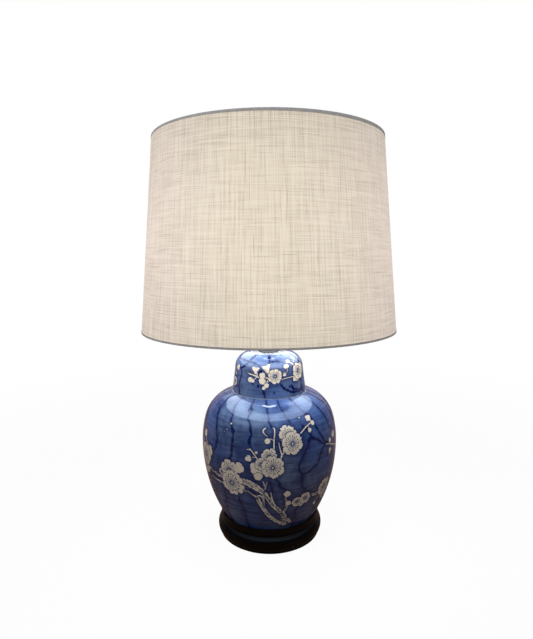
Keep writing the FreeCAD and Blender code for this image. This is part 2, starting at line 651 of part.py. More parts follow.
def socket_shell():
    """Drawn tube with a rolled bead and a turned-in mouth."""
    top = SHELL_BOTTOM + SHELL_HEIGHT
    bead = SOCKET_BOTTOM + SOCKET_CAP_HEIGHT + SHELL_BEAD_HEIGHT / 2
    section = Section(SHELL_INNER, SHELL_BOTTOM).line(SHELL_RADIUS, SHELL_BOTTOM)
    section.line(SHELL_RADIUS, bead)
    bead_top = bead + SHELL_BEAD_HEIGHT
    section.arc((SHELL_RADIUS + SHELL_BEAD, bead + SHELL_BEAD_HEIGHT / 2), (SHELL_RADIUS, bead_top))
    section.line(SHELL_RADIUS, top - SOCKET_WALL).line(SHELL_INNER, top)
    tube = section.line(SHELL_INNER - SOCKET_WALL, top).line(SHELL_INNER, top - SOCKET_WALL).spin()
    return tube.cut(radial_hole(SPINDLE_RADIUS + SLIDE_GAP, SWITCH_Z, -90))


def insulating_tube():
    top = SHELL_BOTTOM + SHELL_HEIGHT - 2 * SOCKET_WALL
    tube = ring(TUBE_INNER, TUBE_INNER + LINER_TUBE_WALL, SHELL_BOTTOM, top)
    return tube.cut(radial_hole(SPINDLE_RADIUS + SLIDE_GAP, SWITCH_Z, -90))


def interior_foot():
    """Height where the moulded block's foot meets the inner cone of the cup."""
    low = SOCKET_BOTTOM + SOCKET_HUB_HEIGHT + SOCKET_WALL
    high = SOCKET_BOTTOM + SOCKET_CAP_HEIGHT - SOCKET_CAP_RIM
    share = (INTERIOR_FOOT_RADIUS - SOCKET_HUB_RADIUS) / (SHELL_RADIUS + SCREW_GAP - SOCKET_HUB_RADIUS)
    return low + share * (high - low) + SCREW_GAP


def socket_interior():
    """Moulded block that holds the switch, the terminals and the screw shell, on a narrow foot."""
    section = Section(0, interior_foot()).line(INTERIOR_FOOT_RADIUS, interior_foot())
    section.line(INTERIOR_FOOT_RADIUS, SHELL_BOTTOM).line(INTERIOR_RADIUS, SHELL_BOTTOM)
    block_shape = section.line(INTERIOR_RADIUS, INTERIOR_TOP).line(0, INTERIOR_TOP).spin()
    wide = 2 * INTERIOR_RADIUS
    for side in (-1, 1):
        flat = block(
            sorted((side * INTERIOR_FLAT, side * wide)),
            (-wide, wide),
            (SHELL_BOTTOM, SHELL_BOTTOM + INTERIOR_FLAT_HEIGHT),
        )
        block_shape = block_shape.cut(flat)
    start = INTERIOR_RADIUS - SPINDLE_DEPTH
    return block_shape.cut(radial_hole(SPINDLE_RADIUS + RUNNING_GAP, SWITCH_Z, -90, start))


def screw_shell():
    """Rolled shell that takes the bulb's screw cap."""
    outer = SCREW_SHELL_INNER + SCREW_SHELL_WALL
    floor = INTERIOR_TOP + SCREW_SHELL_WALL
    section = Section(SCREW_SHELL_HOLE, INTERIOR_TOP).line(outer, INTERIOR_TOP)
    section.line(outer, INTERIOR_TOP + SCREW_SHELL_HEIGHT)
    section.line(SCREW_SHELL_INNER, INTERIOR_TOP + SCREW_SHELL_HEIGHT)
    return section.line(SCREW_SHELL_INNER, floor).line(SCREW_SHELL_HOLE, floor).spin()


def centre_contact():
    return ring(0, CONTACT_RADIUS, INTERIOR_TOP, INTERIOR_TOP + CONTACT_THICKNESS)


def terminal_screws():
    """Two binding screws, one on each flat of the moulded block."""
    height = SHELL_BOTTOM + TERMINAL_HEIGHT
    screws = [
        radial_hole(TERMINAL_RADIUS, height, angle, INTERIOR_FLAT, INTERIOR_FLAT + TERMINAL_HEAD)
        for angle in (0, 180)
    ]
    return Part.makeCompound(screws)


# ---- switch ----
def switch_spindle():
    start = INTERIOR_RADIUS - SPINDLE_DEPTH + SLIDE_GAP
    return radial_hole(SPINDLE_RADIUS, SWITCH_Z, -90, start, SHELL_RADIUS + SPINDLE_REACH)


def switch_knob():
    """Fluted knob on the spindle, with a plain waist towards the socket."""
    end = SHELL_RADIUS + SPINDLE_REACH + SLIDE_GAP
    start = end - KNOB_LENGTH
    waist = radial_hole(KNOB_RADIUS - 2 * KNOB_FLUTE_RADIUS, SWITCH_Z, -90, start, end - KNOB_GRIP)
    grip = radial_hole(KNOB_RADIUS, SWITCH_Z, -90, end - KNOB_GRIP, end + KNOB_END_WALL)
    knob = waist.fuse(grip)
    for step in range(KNOB_FLUTES):
        x, z = on_circle((0, SWITCH_Z), KNOB_RADIUS, 360 * step / KNOB_FLUTES)
        near = FreeCAD.Vector(x, -(end - KNOB_GRIP), z)
        knob = knob.cut(drill(KNOB_FLUTE_RADIUS, near, FreeCAD.Vector(x, -2 * end, z)))
    return knob.cut(radial_hole(SPINDLE_RADIUS, SWITCH_Z, -90, 0, SHELL_RADIUS + SPINDLE_REACH))


# ---- bulb ----
def bulb_glass():
    """Frosted envelope: a ball that runs into a straight neck through a hollow curve."""
    ball = (0, BULB_TIP + BULB_LENGTH - BULB_RADIUS)
    neck = BULB_TIP + BULB_NECK_HEIGHT
    rise = ball[1] - neck
    sweep = (BULB_RADIUS**2 - BULB_NECK_RADIUS**2 - rise**2) / (2 * (BULB_NECK_RADIUS - BULB_RADIUS))
    hollow = (BULB_NECK_RADIUS + sweep, neck)
    angle = math.degrees(math.atan2(rise, -hollow[0]))
    bottom = BULB_TIP + BULB_CAP_START + BULB_CAP_LENGTH
    join = on_circle(hollow, sweep, angle)
    start = math.degrees(math.atan2(join[1] - ball[1], join[0]))
    inner = BULB_NECK_RADIUS - BULB_GLASS
    inner_ball = BULB_RADIUS - BULB_GLASS
    inner_sweep = sweep + BULB_GLASS
    section = Section(inner, bottom).line(BULB_NECK_RADIUS, bottom).line(BULB_NECK_RADIUS, neck)
    section.arc(on_circle(hollow, sweep, (180 + angle) / 2), join)
    section.arc(on_circle(ball, BULB_RADIUS, (start + 90) / 2), (0, ball[1] + BULB_RADIUS))
    section.line(0, ball[1] + inner_ball)
    section.arc(on_circle(ball, inner_ball, (start + 90) / 2), on_circle(hollow, inner_sweep, angle))
    section.arc(on_circle(hollow, inner_sweep, (180 + angle) / 2), (inner, neck))
    return section.spin()


def bulb_screw_cap():
    """Rolled metal cap with a tapered bottom that holds the insulator."""
    floor = BULB_TIP + BULB_CAP_START
    top = floor + BULB_CAP_LENGTH
    side = floor + BULB_CAP_CHAMFER
    inner = BULB_CAP_RADIUS - BULB_CAP_WALL
    section = Section(BULB_INSULATOR_RADIUS, floor - BULB_CAP_WALL)
    section.line(BULB_CAP_RADIUS - BULB_CAP_CHAMFER, floor - BULB_CAP_WALL).line(BULB_CAP_RADIUS, side)
    section.line(BULB_CAP_RADIUS, top).line(inner, top).line(inner, side)
    return section.line(inner - BULB_CAP_CHAMFER, floor).line(BULB_INSULATOR_RADIUS, floor).spin()


def bulb_insulator():
    bottom = BULB_TIP + BULB_TIP_HEIGHT
    top = BULB_TIP + BULB_CAP_START - BULB_CAP_WALL
    section = Section(0, bottom).line(BULB_TIP_RADIUS, bottom)
    return section.line(BULB_INSULATOR_RADIUS, top).line(0, top).spin()


def bulb_contact():
    top = BULB_TIP + BULB_TIP_HEIGHT
    section = Section(0, BULB_TIP)
    section.arc((BULB_TIP_RADIUS / 2, BULB_TIP + BULB_TIP_HEIGHT / 5), (BULB_TIP_RADIUS, top))
    return section.line(0, top).spin()


# ---- shade ----
def shade_radius(z):
    """Outer radius of the linen at a height, under the tape."""
    share = (z - SHADE_BOTTOM) / SHADE_HEIGHT
    return SHADE_BOTTOM_RADIUS + share * (SHADE_TOP_RADIUS - SHADE_BOTTOM_RADIUS) - TAPE_THICKNESS


def cone(outside, thickness, bottom, top):
    """A sheet on the drum, a distance inside the linen's outer face."""
    section = Section(shade_radius(bottom) - outside, bottom)
    section.line(shade_radius(top) - outside, top).line(shade_radius(top) - outside - thickness, top)
    return section.line(shade_radius(bottom) - outside - thickness, bottom).spin()


def linen_cover():
    return cone(0, LINEN_THICKNESS, SHADE_BOTTOM + TAPE_THICKNESS, SHADE_TOP - TAPE_THICKNESS)


def shade_liner():
    return cone(
        LINEN_THICKNESS, LINER_THICKNESS, SHADE_BOTTOM + TAPE_THICKNESS, SHADE_TOP - TAPE_THICKNESS
    )


def rim_tape(edge, width, inwards):
    """Tape folded over a rim: outside the linen, over the edge and round the ring wire."""
    fold = edge + inwards * TAPE_THICKNESS
    outer_end = edge + inwards * width
    inner_end = edge + inwards * TAPE_TURN_IN
    inset = LINEN_THICKNESS + LINER_THICKNESS + 2 * RING_WIRE_RADIUS + 2 * GLUE_GAP
    section = Section(shade_radius(outer_end), outer_end)
    section.line(shade_radius(fold), fold).line(shade_radius(fold) - inset, fold)
    section.line(shade_radius(inner_end) - inset, inner_end)
    section.line(shade_radius(inner_end) - inset - TAPE_THICKNESS, inner_end)
    section.line(shade_radius(fold) - inset - TAPE_THICKNESS, fold)
    section.line(shade_radius(fold) - inset, edge).line(shade_radius(edge), edge)
    section.line(shade_radius(fold) + TAPE_THICKNESS, fold)
    return section.line(shade_radius(outer_end) + TAPE_THICKNESS, outer_end).spin()


def ring_place(edge, inwards):
    """Centre of a rim wire's section, inside the liner and under the tape."""
    z = edge + inwards * (TAPE_THICKNESS + RING_WIRE_RADIUS + GLUE_GAP)
    return shade_radius(z) - LINEN_THICKNESS - LINER_THICKNESS - RING_WIRE_RADIUS - GLUE_GAP, z


def rim_ring(edge, inwards):
    r, z = ring_place(edge, inwards)
    return Part.makeTorus(r, RING_WIRE_RADIUS, FreeCAD.Vector(0, 0, z))


def spider_hub():
    return ring(STUD_RADIUS + RUNNING_GAP, HUB_RADIUS, STUD_SEAT, HUB_TOP)


def spider_arm():
    """One arm: level out of the ring, down the drop and level onto the hub."""
    ring_r, ring_z = ring_place(SHADE_TOP, -1)
    start = (ring_r - RING_WIRE_RADIUS - GLUE_GAP, ring_z)
    low = HUB_TOP + ARM_WIRE_RADIUS + GLUE_GAP
    upper = (start[0] - ARM_LEVEL_RUN, ring_z)
    lower = (upper[0] - ARM_SLOPE_RUN, low)
    end = (HUB_RADIUS - HUB_WELD_RUN, low)
    slope = math.atan2(ring_z - low, ARM_SLOPE_RUN)
    cut_back = ARM_BEND * math.tan(slope / 2)
    step = (cut_back * math.cos(slope), cut_back * math.sin(slope))
    rise = ARM_BEND * (1 - math.cos(slope / 2))
    shift = ARM_BEND * math.sin(slope / 2)
    edges = [
        Part.makeLine(vector(*start), vector(upper[0] + cut_back, ring_z)),
        Part.Arc(
            vector(upper[0] + cut_back, ring_z),
            vector(upper[0] + cut_back - shift, ring_z - rise),
            vector(upper[0] - step[0], ring_z - step[1]),
        ).toShape(),
        Part.makeLine(
            vector(upper[0] - step[0], ring_z - step[1]), vector(lower[0] + step[0], low + step[1])
        ),
        Part.Arc(
            vector(lower[0] + step[0], low + step[1]),
            vector(lower[0] - cut_back + shift, low + rise),
            vector(lower[0] - cut_back, low),
        ).toShape(),
        Part.makeLine(vector(lower[0] - cut_back, low), vector(*end)),
    ]
    return bent_wire(edges, vector(*start), FreeCAD.Vector(-1, 0, 0), ARM_WIRE_RADIUS)


def at_each_arm(shape):
    """Copies of a shape, turned to where each arm of the spider points."""
    copies = []
    for step in range(ARM_COUNT):
        copy = shape.copy()
        turn = ARM_FIRST_ANGLE + 360 * step / ARM_COUNT
        copy.rotate(FreeCAD.Vector(0, 0, 0), FreeCAD.Vector(0, 0, 1), turn)
        copies.append(copy)
    return copies


def spider_arms():
    return Part.makeCompound(at_each_arm(spider_arm()))


def top_tape():
    """Tape on the upper rim, slit on the inside where the arms leave the ring."""
    ring_r, ring_z = ring_place(SHADE_TOP, -1)
    half = ARM_WIRE_RADIUS + SCREW_GAP
    slit = block((0, ring_r), (-half, half), (SHADE_TOP - 2 * TAPE_TURN_IN, ring_z))
    slit = slit.fuse(drill(half, vector(0, ring_z), vector(ring_r, ring_z)))
    return rim_tape(SHADE_TOP, TOP_TAPE_WIDTH, -1).cut(at_each_arm(slit))


def pieces():
    """Every piece of the lamp by its name."""
    sleeve = harp_sleeve()
    return {
        "felt_pad": felt_pad(),
        "wooden_base": wooden_base(),
        "cord_bushing": cord_bushing(),
        "base_washer": base_washer(),
        "base_nut": base_nut(),
        "lamp_pipe": lamp_pipe(),
        "jar_body": jar_body(),
        "jar_lid": jar_lid(),
        "lid_cushion": lid_cushion(),
        "vase_cap": vase_cap(),
        "neck_spool": neck_spool(),
        "harp_saddle": harp_saddle(),
        "harp_wire": harp_wire(),
        "harp_stud": harp_stud(),
        "right_harp_sleeve": sleeve,
        "left_harp_sleeve": mirrored(sleeve),
        "finial": finial(),
        "socket_cap": socket_cap(),
        "set_screw": set_screw(),
        "socket_shell": socket_shell(),
        "insulating_tube": insulating_tube(),
        "socket_interior": socket_interior(),
        "screw_shell": screw_shell(),
        "centre_contact": centre_contact(),
        "terminal_screws": terminal_screws(),
        "switch_spindle": switch_spindle(),
        "switch_knob": switch_knob(),
        "bulb_glass": bulb_glass(),
        "bulb_screw_cap": bulb_screw_cap(),
        "bulb_insulator": bulb_insulator(),
        "bulb_contact": bulb_contact(),
        "linen_cover": linen_cover(),
        "shade_liner": shade_liner(),
        "top_tape": top_tape(),
        "bottom_tape": rim_tape(SHADE_BOTTOM, BOTTOM_TAPE_WIDTH, 1),
        "top_ring": rim_ring(SHADE_TOP, -1),
        "bottom_ring": rim_ring(SHADE_BOTTOM, 1),
        "spider_arms": spider_arms(),
        "spider_hub": spider_hub(),
    }


def main():
    os.makedirs("parts", exist_ok=True)
    for name, shape in pieces().items():
        shape.exportStep(f"parts/{name}.step")
    print(f"shade from z = {SHADE_BOTTOM:.1f} to {SHADE_TOP:.1f}, harp seat at {STUD_SEAT:.1f}")
    print(f"jar seat {JAR_SEAT:.1f}, ledge {JAR_LEDGE:.1f}, lid top {LID_TOP:.1f}, bulb tip {BULB_TIP:.1f}")


main()
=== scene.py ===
"""Dress the packed ginger jar lamp: painted porcelain, linen, black wood, metal and a studio.

All positions are metres in the frame of the packed model. An azimuth is measured round the
lamp's axis in degrees, 0 at the front and growing to the right.
"""

import bisect
import math
import random

import bpy
from mathutils import Matrix, Vector, noise


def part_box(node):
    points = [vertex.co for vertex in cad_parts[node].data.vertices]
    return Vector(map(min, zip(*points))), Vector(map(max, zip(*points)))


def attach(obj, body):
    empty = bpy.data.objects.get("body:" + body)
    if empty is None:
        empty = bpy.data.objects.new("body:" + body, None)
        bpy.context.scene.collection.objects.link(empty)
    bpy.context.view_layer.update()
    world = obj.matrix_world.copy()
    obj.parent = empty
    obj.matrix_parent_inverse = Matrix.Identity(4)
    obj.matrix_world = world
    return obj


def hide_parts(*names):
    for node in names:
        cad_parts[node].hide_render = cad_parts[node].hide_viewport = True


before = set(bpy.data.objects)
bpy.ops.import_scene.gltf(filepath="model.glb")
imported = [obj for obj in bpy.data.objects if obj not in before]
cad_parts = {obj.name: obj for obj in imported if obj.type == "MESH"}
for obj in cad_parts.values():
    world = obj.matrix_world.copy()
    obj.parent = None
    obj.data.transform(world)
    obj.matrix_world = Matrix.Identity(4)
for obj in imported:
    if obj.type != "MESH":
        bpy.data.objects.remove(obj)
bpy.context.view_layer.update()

bl_info = {
    "name": "Ginger jar lamp",
    "version": (1, 0, 0),
    "blender": (4, 5, 0),
    "location": "View3D > Sidebar > Lamp",
    "description": "Paints the jar, dresses the shade and the stand, and sets the studio",
    "category": "Object",
}

MM = 0.001
PORCELAIN = "blue_white_porcelain"
BLACK = (0, 0, 0, 1)

# Where each node starts and ends, read from the packed model.
JAR_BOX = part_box("jar_body")
LID_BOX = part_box("jar_lid")
LINEN_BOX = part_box("linen_cover")
CAP_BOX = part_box("vase_cap")

LINEN_RADIUS = (LINEN_BOX[1][0] - LINEN_BOX[0][0]) / 2
# Linen, liner, rim wire and glue, from the linen's outside inwards.
RIM_BUILD_UP = 4.26 * MM
# Where the spider's arms leave the top rim, and half the tape's slit round each, in radians.
ARM_TURNS = (math.pi, math.pi / 3, -math.pi / 3)
ARM_SLIT = math.radians(1.6)
# How far the tape reaches down behind the rim wire, and at an arm.
TAPE_FOLD = 4.1 * MM
ARM_FOLD = 0.7 * MM
# The lit bulb's height, where the liner is brightest, and the height of the shade's lower end.
BULB_HEIGHT = 0.44
SHADE_MOUTH = 0.330
# Radius and height of both ends of the screen that stands in for the liner in reflections.
SCREEN_ENDS = ((0.1868, 0.331), (0.1652, 0.597))

# Heights of the paint's layers above the porcelain.
GROUND = 0.05 * MM
CRACK = 0.08 * MM
BOUGH = 0.12 * MM
BARK = 0.15 * MM
LAYERS = (0.18 * MM, 0.26 * MM, 0.34 * MM)
STROKE_RISE = 0.03 * MM

# How far the ink shows beyond a bough, and the darker rim close round it.
BOUGH_OUTLINE = 0.75 * MM
BOUGH_RIM = 0.4 * MM
# The jar's paint starts outside this radius, above its foot.
FOOT_RADIUS = 57.5 * MM


# ---------------------------------------------------------------- settings


def colour(name, description, default):
    return bpy.props.FloatVectorProperty(
        name=name, description=description, subtype="COLOR", size=3, min=0, max=1, default=default
    )


def distance(name, description, millimetres):
    return bpy.props.FloatProperty(
        name=name,
        description=description,
        subtype="DISTANCE",
        unit="LENGTH",
        precision=5,
        default=millimetres * MM,
    )


def angle(name, description, degrees):
    return bpy.props.FloatProperty(
        name=name,
        description=description,
        subtype="ANGLE",
        unit="ROTATION",
        default=math.radians(degrees),
    )


def factor(name, description, default, most=1.0):
    return bpy.props.FloatProperty(
        name=name, description=description, min=0, max=most, default=default
    )


class JarPaint(bpy.types.PropertyGroup):
    """Colours and brush sizes of the painted porcelain"""

    cobalt: colour("Cobalt", "The wash where the brush left it thin", (0.050, 0.102, 0.292))
    deep: colour("Deep cobalt", "The wash where the strokes overlap", (0.014, 0.030, 0.122))
    grey: colour("Greyed cobalt", "The wash where porcelain shows through", (0.092, 0.145, 0.262))
    pooled: colour("Pooled cobalt", "The wash beside lines and petals", (0.0035, 0.011, 0.088))
    ink: colour("Ink", "The dark cores of the cracked ice", (0.0018, 0.0065, 0.066))
    reserve: colour("Reserve", "Bare porcelain in petals and boughs", (0.655, 0.620, 0.550))
    crack_width: distance("Crack width", "The dark core of a line of the cracked ice", 3.3)
    pool_width: distance("Pool width", "How far the wash darkens beside a petal", 9.0)
    stroke_width: distance("Stroke width", "The finest brush line inside a blossom", 0.5)
    mesh_step: distance("Mesh step", "Spacing of the painted ground's mesh", 1.15)


class ShadeDress(bpy.types.PropertyGroup):
    """The linen, its glow and its trim"""

    linen: colour("Linen", "The undyed linen", (0.64, 0.59, 0.515))
    slub: colour("Slub", "Thick brown-grey threads in the linen", (0.50, 0.445, 0.375))
    glow: colour("Glow", "Light that comes through the linen", (1.0, 0.885, 0.695))
    side_glow: colour("Side glow", "The same light at the shade's two sides", (0.96, 0.82, 0.72))
    glow_strength: factor("Glow strength", "How brightly the lit linen shows", 0.62, 5)
    inside_strength: factor("Inside strength", "How brightly the lit liner shows", 0.16, 20)
    thread: distance("Thread pitch", "From one thread of the weave to the next", 1.2)
    slubs: bpy.props.IntProperty(
        name="Slubs", description="Raised thick threads", default=1500, min=0
    )
    lap: distance("Lap", "Overlap of the linen at the back", 9.0)
    tape: colour("Tape", "The grey trim tape", (0.72, 0.71, 0.72))
    tape_thickness: distance("Tape thickness", "Of the folded trim tape", 0.4)
    top_tape: distance("Top tape", "How far the tape reaches down the linen at the top", 3.6)
    bottom_tape: distance("Bottom tape", "How far the tape reaches up the linen at the bottom", 2.7)


class StandDress(bpy.types.PropertyGroup):
    """The base and the metal parts"""

    wood: colour("Wood", "Ebonised wood", (0.0008, 0.0007, 0.0009))
    nickel: colour("Nickel", "Brushed nickel of cap, harp and socket", (0.62, 0.60, 0.57))
    brass: colour("Brass", "Brass of the contacts", (0.72, 0.52, 0.24))
    bulb_strength: factor("Bulb strength", "How brightly the frosted bulb shows", 10.0, 200)


class LampStudio(bpy.types.PropertyGroup):
    """Floor, light and camera"""

    floor: colour("Floor", "The pale floor", (0.90, 0.89, 0.875))
    floor_glow: factor("Floor glow", "How much of the floor's light is its own", 0.96)
    table: colour("Table tone", "Floor in front, as the glaze mirrors it", (0.20, 0.125, 0.085))
    far_table: colour("Far table tone", "Floor behind, as mirrored", (0.62, 0.44, 0.40))
    room: colour("Room tone", "Room in front, as mirrored", (0.060, 0.062, 0.076))
    wall: colour("Wall tone", "Wall behind, as mirrored", (0.50, 0.37, 0.33))
    ceiling: colour("Ceiling tone", "Ceiling, as mirrored", (0.62, 0.76, 1.0))
    room_light: factor("Room light", "Even light from all round", 0.22, 10)
    glare: factor("Glare", "How brightly the glaze mirrors the inside of the shade", 4.5, 20)
    down_light: factor("Down light", "Watts of soft light out of the shade's lower end", 1.0, 20)
    camera_place: bpy.props.FloatVectorProperty(
        name="Camera",
        description="Where the camera stands",
        subtype="TRANSLATION",
        unit="LENGTH",
        default=(-0.00347, -0.7424, 0.432),
    )
    pitch: angle("Pitch", "How far the camera looks down", 7.19)
    roll: angle("Roll", "How far the camera leans", -0.312)
    lens: bpy.props.FloatProperty(
        name="Lens", description="Focal length", unit="CAMERA", default=27.39, min=1
    )


# ---------------------------------------------------------------- materials


def rgba(rgb, share=1.0):
    """A colour for a socket, darker or brighter by a share."""
    return (*(share * c for c in rgb), 1.0)


class Nodes:
    """A node tree that grows by naming each new node's inputs."""

    def __init__(self, tree):
        self.tree = tree

    def add(self, kind, inputs=None, **settings):
        node = self.tree.nodes.new(kind)
        for name, value in settings.items():
            setattr(node, name, value)
        for socket, value in (inputs or {}).items():
            if isinstance(value, bpy.types.NodeSocket):
                self.tree.links.new(value, node.inputs[socket])
            else:
                node.inputs[socket].default_value = value
        return node

    def sum(self, operation, *values):
        return self.add("ShaderNodeMath", dict(enumerate(values)), operation=operation).outputs[0]

    def times(self, value, factor, plus=0.0):
        return self.sum("MULTIPLY_ADD", value, factor, plus)

    def mix(self, share, low, high):
        return self.add("ShaderNodeMix", {0: share, 6: low, 7: high}, data_type="RGBA").outputs[2]

    def either(self, share, low, high):
        """The first shader, or the second where share is 1."""
        return self.add("ShaderNodeMixShader", {0: share, 1: low, 2: high}).outputs[0]


class Finish(Nodes):
    """One material, built round its Principled shader."""

    def __init__(self, name, sockets):
        self.material = bpy.data.materials.new(name)
        self.material.use_nodes = True
        super().__init__(self.material.node_tree)
        self.shader = self.tree.nodes["Principled BSDF"]
        for socket, value in sockets.items():
            self.shader.inputs[socket].default_value = value
        self.place = self.add("ShaderNodeTexCoord").outputs["Object"]

    def span(self, value, low, high, to_low=0.0, to_high=1.0):
        """A value's place between low and high, eased at both ends."""
        inputs = {0: value, 1: low, 2: high, 3: to_low, 4: to_high}
        node = self.add("ShaderNodeMapRange", inputs, interpolation_type="SMOOTHSTEP")
        return node.outputs[0]

    def noise(self, scale, detail=2.0, place=None, roughness=0.5):
        """Noise with so many features to the metre, all round or along each axis."""
        along = scale if isinstance(scale, tuple) else (scale,) * 3
        inputs = {0: place or self.place, 1: along}
        spread = self.add("ShaderNodeVectorMath", inputs, operation="MULTIPLY").outputs[0]
        inputs = {"Vector": spread, "Scale": 1.0, "Detail": detail, "Roughness": roughness}
        return self.add("ShaderNodeTexNoise", inputs).outputs[0]

    def clouds(self, scale, detail, *ends):
        """Noise between two of its values, eased at both ends."""
        return self.span(self.noise(scale, detail), *ends)

    def split(self):
        return self.add("ShaderNodeSeparateXYZ", {0: self.place}).outputs

    def height(self):
        return self.split()[2]

    def azimuth(self):
        """The angle round the axis in radians, 0 at the front."""
        x, y, _ = self.split()
        return self.sum("ARCTAN2", x, self.times(y, -1.0))

    def fading(self, height, rate, most=1.0):
        """Brightness that falls off with the square of the distance up or down from a height."""
        away = self.sum("SUBTRACT", self.height(), height)
        return self.times(self.times(away, away), -rate, most)

    def spread(self, attribute):
        return self.add("ShaderNodeAttribute", attribute_name=attribute).outputs["Fac"]

    def paint(self, **sockets):
        for name, value in sockets.items():
            self.tree.links.new(value, self.shader.inputs[name.replace("_", " ")])
        return self

    def glow(self, strength, share, tone):
        """Light of its own, from none where share is 0."""
        self.shader.inputs["Emission Strength"].default_value = strength
        return self.paint(Emission_Color=self.mix(share, BLACK, tone))

    def relief(self, height, depth, strength=1.0):
        inputs = {"Height": height, "Distance": depth, "Strength": strength}
        bump = self.add("ShaderNodeBump", inputs)
        self.tree.links.new(bump.outputs[0], self.shader.inputs["Normal"])
        return self


def glazed(name):
    """A finish under the jar's clear glaze, which ripples a little."""
    tint = (0.61, 0.77, 1.0, 1)
    finish = Finish(name, {"Roughness": 0.065, "IOR": 1.78, "Specular Tint": tint})
    return finish.relief(finish.noise(28, detail=1.0), 0.13 * MM)


def wash_tone(finish, paint):
    """The brushed cobalt wash: level strokes over clouds of thin and heavy colour, with painted
    shade darker towards the foot.
    """
    strokes = finish.noise((16, 16, 240), detail=4, roughness=0.65)
    clouds = finish.noise((30, 30, 22), detail=5, roughness=0.65)
    share = finish.times(strokes, 0.46, finish.times(clouds, 0.54))
    # Painted shade: the wash grows darker towards the foot and lighter up the jar, where more of
    # the shade's light falls.
    share = finish.times(finish.sum("SUBTRACT", finish.height(), 0.14), 0.55, share)
    thin = finish.clouds((13, 13, 9), 3, 0.40, 0.64)
    light = finish.mix(thin, rgba(paint.cobalt), rgba(paint.grey))
    return finish.mix(finish.span(share, 0.36, 0.63), rgba(paint.deep), light)


def ground_tone(finish, paint):
    """The wash, darkened where the ink pools, pale along the lid's fired edge, and paled over the
    lid's top as painted light from the shade.
    """
    blotch = finish.clouds(150, 3, 0.2, 0.65, 0.72, 1.05)
    pool = finish.times(finish.spread("pool"), blotch)
    tone = finish.mix(pool, wash_tone(finish, paint), rgba(paint.pooled))
    thin = finish.clouds((60, 60, 400), 3, 0.3, 0.7, 0.7, 1.0)
    # This mark holds the real bare edge and the painted light on the lid's top.
    bare = finish.times(finish.spread("bare"), thin)
    return finish.mix(bare, tone, (0.30, 0.37, 0.50, 1))


def ink_tone(finish, paint):
    """Ink that has run into beads."""
    soft = [0.5 * a + 0.5 * b for a, b in zip(paint.ink, paint.pooled)]
    return finish.mix(finish.clouds(420, 2, 0.3, 0.72), rgba(paint.ink), rgba(soft))


def stroke_tone(finish, paint):
    """Fine brush strokes, thinner than the ink."""
    thin = [0.6 * a + 0.4 * b for a, b in zip(paint.deep, paint.cobalt)]
    return finish.mix(finish.clouds(700, 2, 0.3, 0.7), rgba(paint.deep), rgba(thin))


def reserve_tone(finish, paint):
    """Bare porcelain: a warm white with the blue of the wash creeping in at the edges."""
    grime = finish.clouds(260, 4, 0.35, 0.75)
    white = finish.mix(grime, rgba(paint.reserve), rgba(paint.reserve, 0.86))
    creep = finish.times(finish.spread("edge"), finish.span(grime, 0.0, 1.0, 0.35, 0.85))
    return finish.mix(creep, white, rgba(paint.cobalt))


COAT_TONES = {
    "ground": ground_tone,
    "cracks": ink_tone,
    "ink": ink_tone,
    "white": reserve_tone,
    "strokes": stroke_tone,
}


def coat_glaze(key, paint):
    """The finish of one coat, mixed once for jar and lid."""
    name = f"{key}_coat"
    if name not in bpy.data.materials:
        finish = glazed(name)
        finish.paint(Base_Color=COAT_TONES[key](finish, paint))
    return bpy.data.materials[name]


def body_glaze():
    """The jar's own wall, seen at its rims and inside: grey-blue with fine specks."""
    finish = glazed("porcelain_body")
    specks = finish.clouds(900, 3, 0.66, 0.74)
    pale, dark = (0.34, 0.38, 0.46, 1), (0.22, 0.25, 0.32, 1)
    return finish.paint(Base_Color=finish.mix(specks, pale, dark)).material


def threads(finish, pitch):
    """A plain weave on the shade's cone: its height from 0 to 1."""
    warp = finish.times(finish.azimuth(), LINEN_RADIUS / pitch)
    weft = finish.times(finish.height(), 1 / pitch)
    over, under = (finish.sum("SINE", finish.times(run, math.pi)) for run in (warp, weft))
    return finish.times(finish.times(over, under), 0.5, 0.5)


def streaks(finish, across, along):
    """Thick and thin threads: noise drawn out round the shade, and up it."""
    turn = finish.times(finish.azimuth(), LINEN_RADIUS)
    height = finish.height()
    runs = []
    for far, near in ((turn, height), (height, turn)):
        row = finish.times(near, across)
        # Each row is shifted along, so that the streaks of two rows never line up.
        run = finish.times(far, along, finish.times(row, 0.618))
        flat = finish.add("ShaderNodeCombineXYZ", {0: run, 1: row}).outputs[0]
        runs.append(finish.noise(1, detail=1, place=flat))
    return runs


def linen_finish(dress, name, tone, glow_share):
    """Woven linen with the light from behind painted on as a glow, a little brighter at the bulb's
    height.
    """
    finish = Finish(name, {"Roughness": 0.86, "Specular IOR Level": 0.18, "Sheen Weight": 0.06})
    cloth = finish.times(threads(finish, dress.thread), 0.14)
    for across, along, shares in ((520, 11, (0.22, 0.29)), (860, 24, (0.24, 0.28))):
        for run, share in zip(streaks(finish, across, along), shares):
            cloth = finish.times(finish.span(run, 0.28, 0.68), share, cloth)
    cloth = finish.span(cloth, 0.15, 1.10)
    other = (tone[0] * 0.985, tone[1], tone[2] * 1.04, 1)
    warm = finish.mix(finish.clouds(14, 2, 0.35, 0.65), rgba(tone), other)
    finish.paint(Base_Color=finish.mix(cloth, rgba(tone, 0.64), warm))
    # Painted light: the bulb's light through the linen is a glow, brightest at the bulb's height,
    # dimmer along the darker threads, pinker at the two sides.
    bright = finish.times(finish.fading(0.455, 12.0), finish.span(cloth, 0.0, 1.0, 0.73, 1.03))
    aside = finish.sum("ABSOLUTE", finish.sum("SINE", finish.azimuth()))
    light = finish.mix(finish.span(aside, 0.1, 1.0), rgba(dress.glow), rgba(dress.side_glow))
    finish.glow(dress.glow_strength * glow_share, bright, light)
    return finish.relief(cloth, 0.2 * MM).material


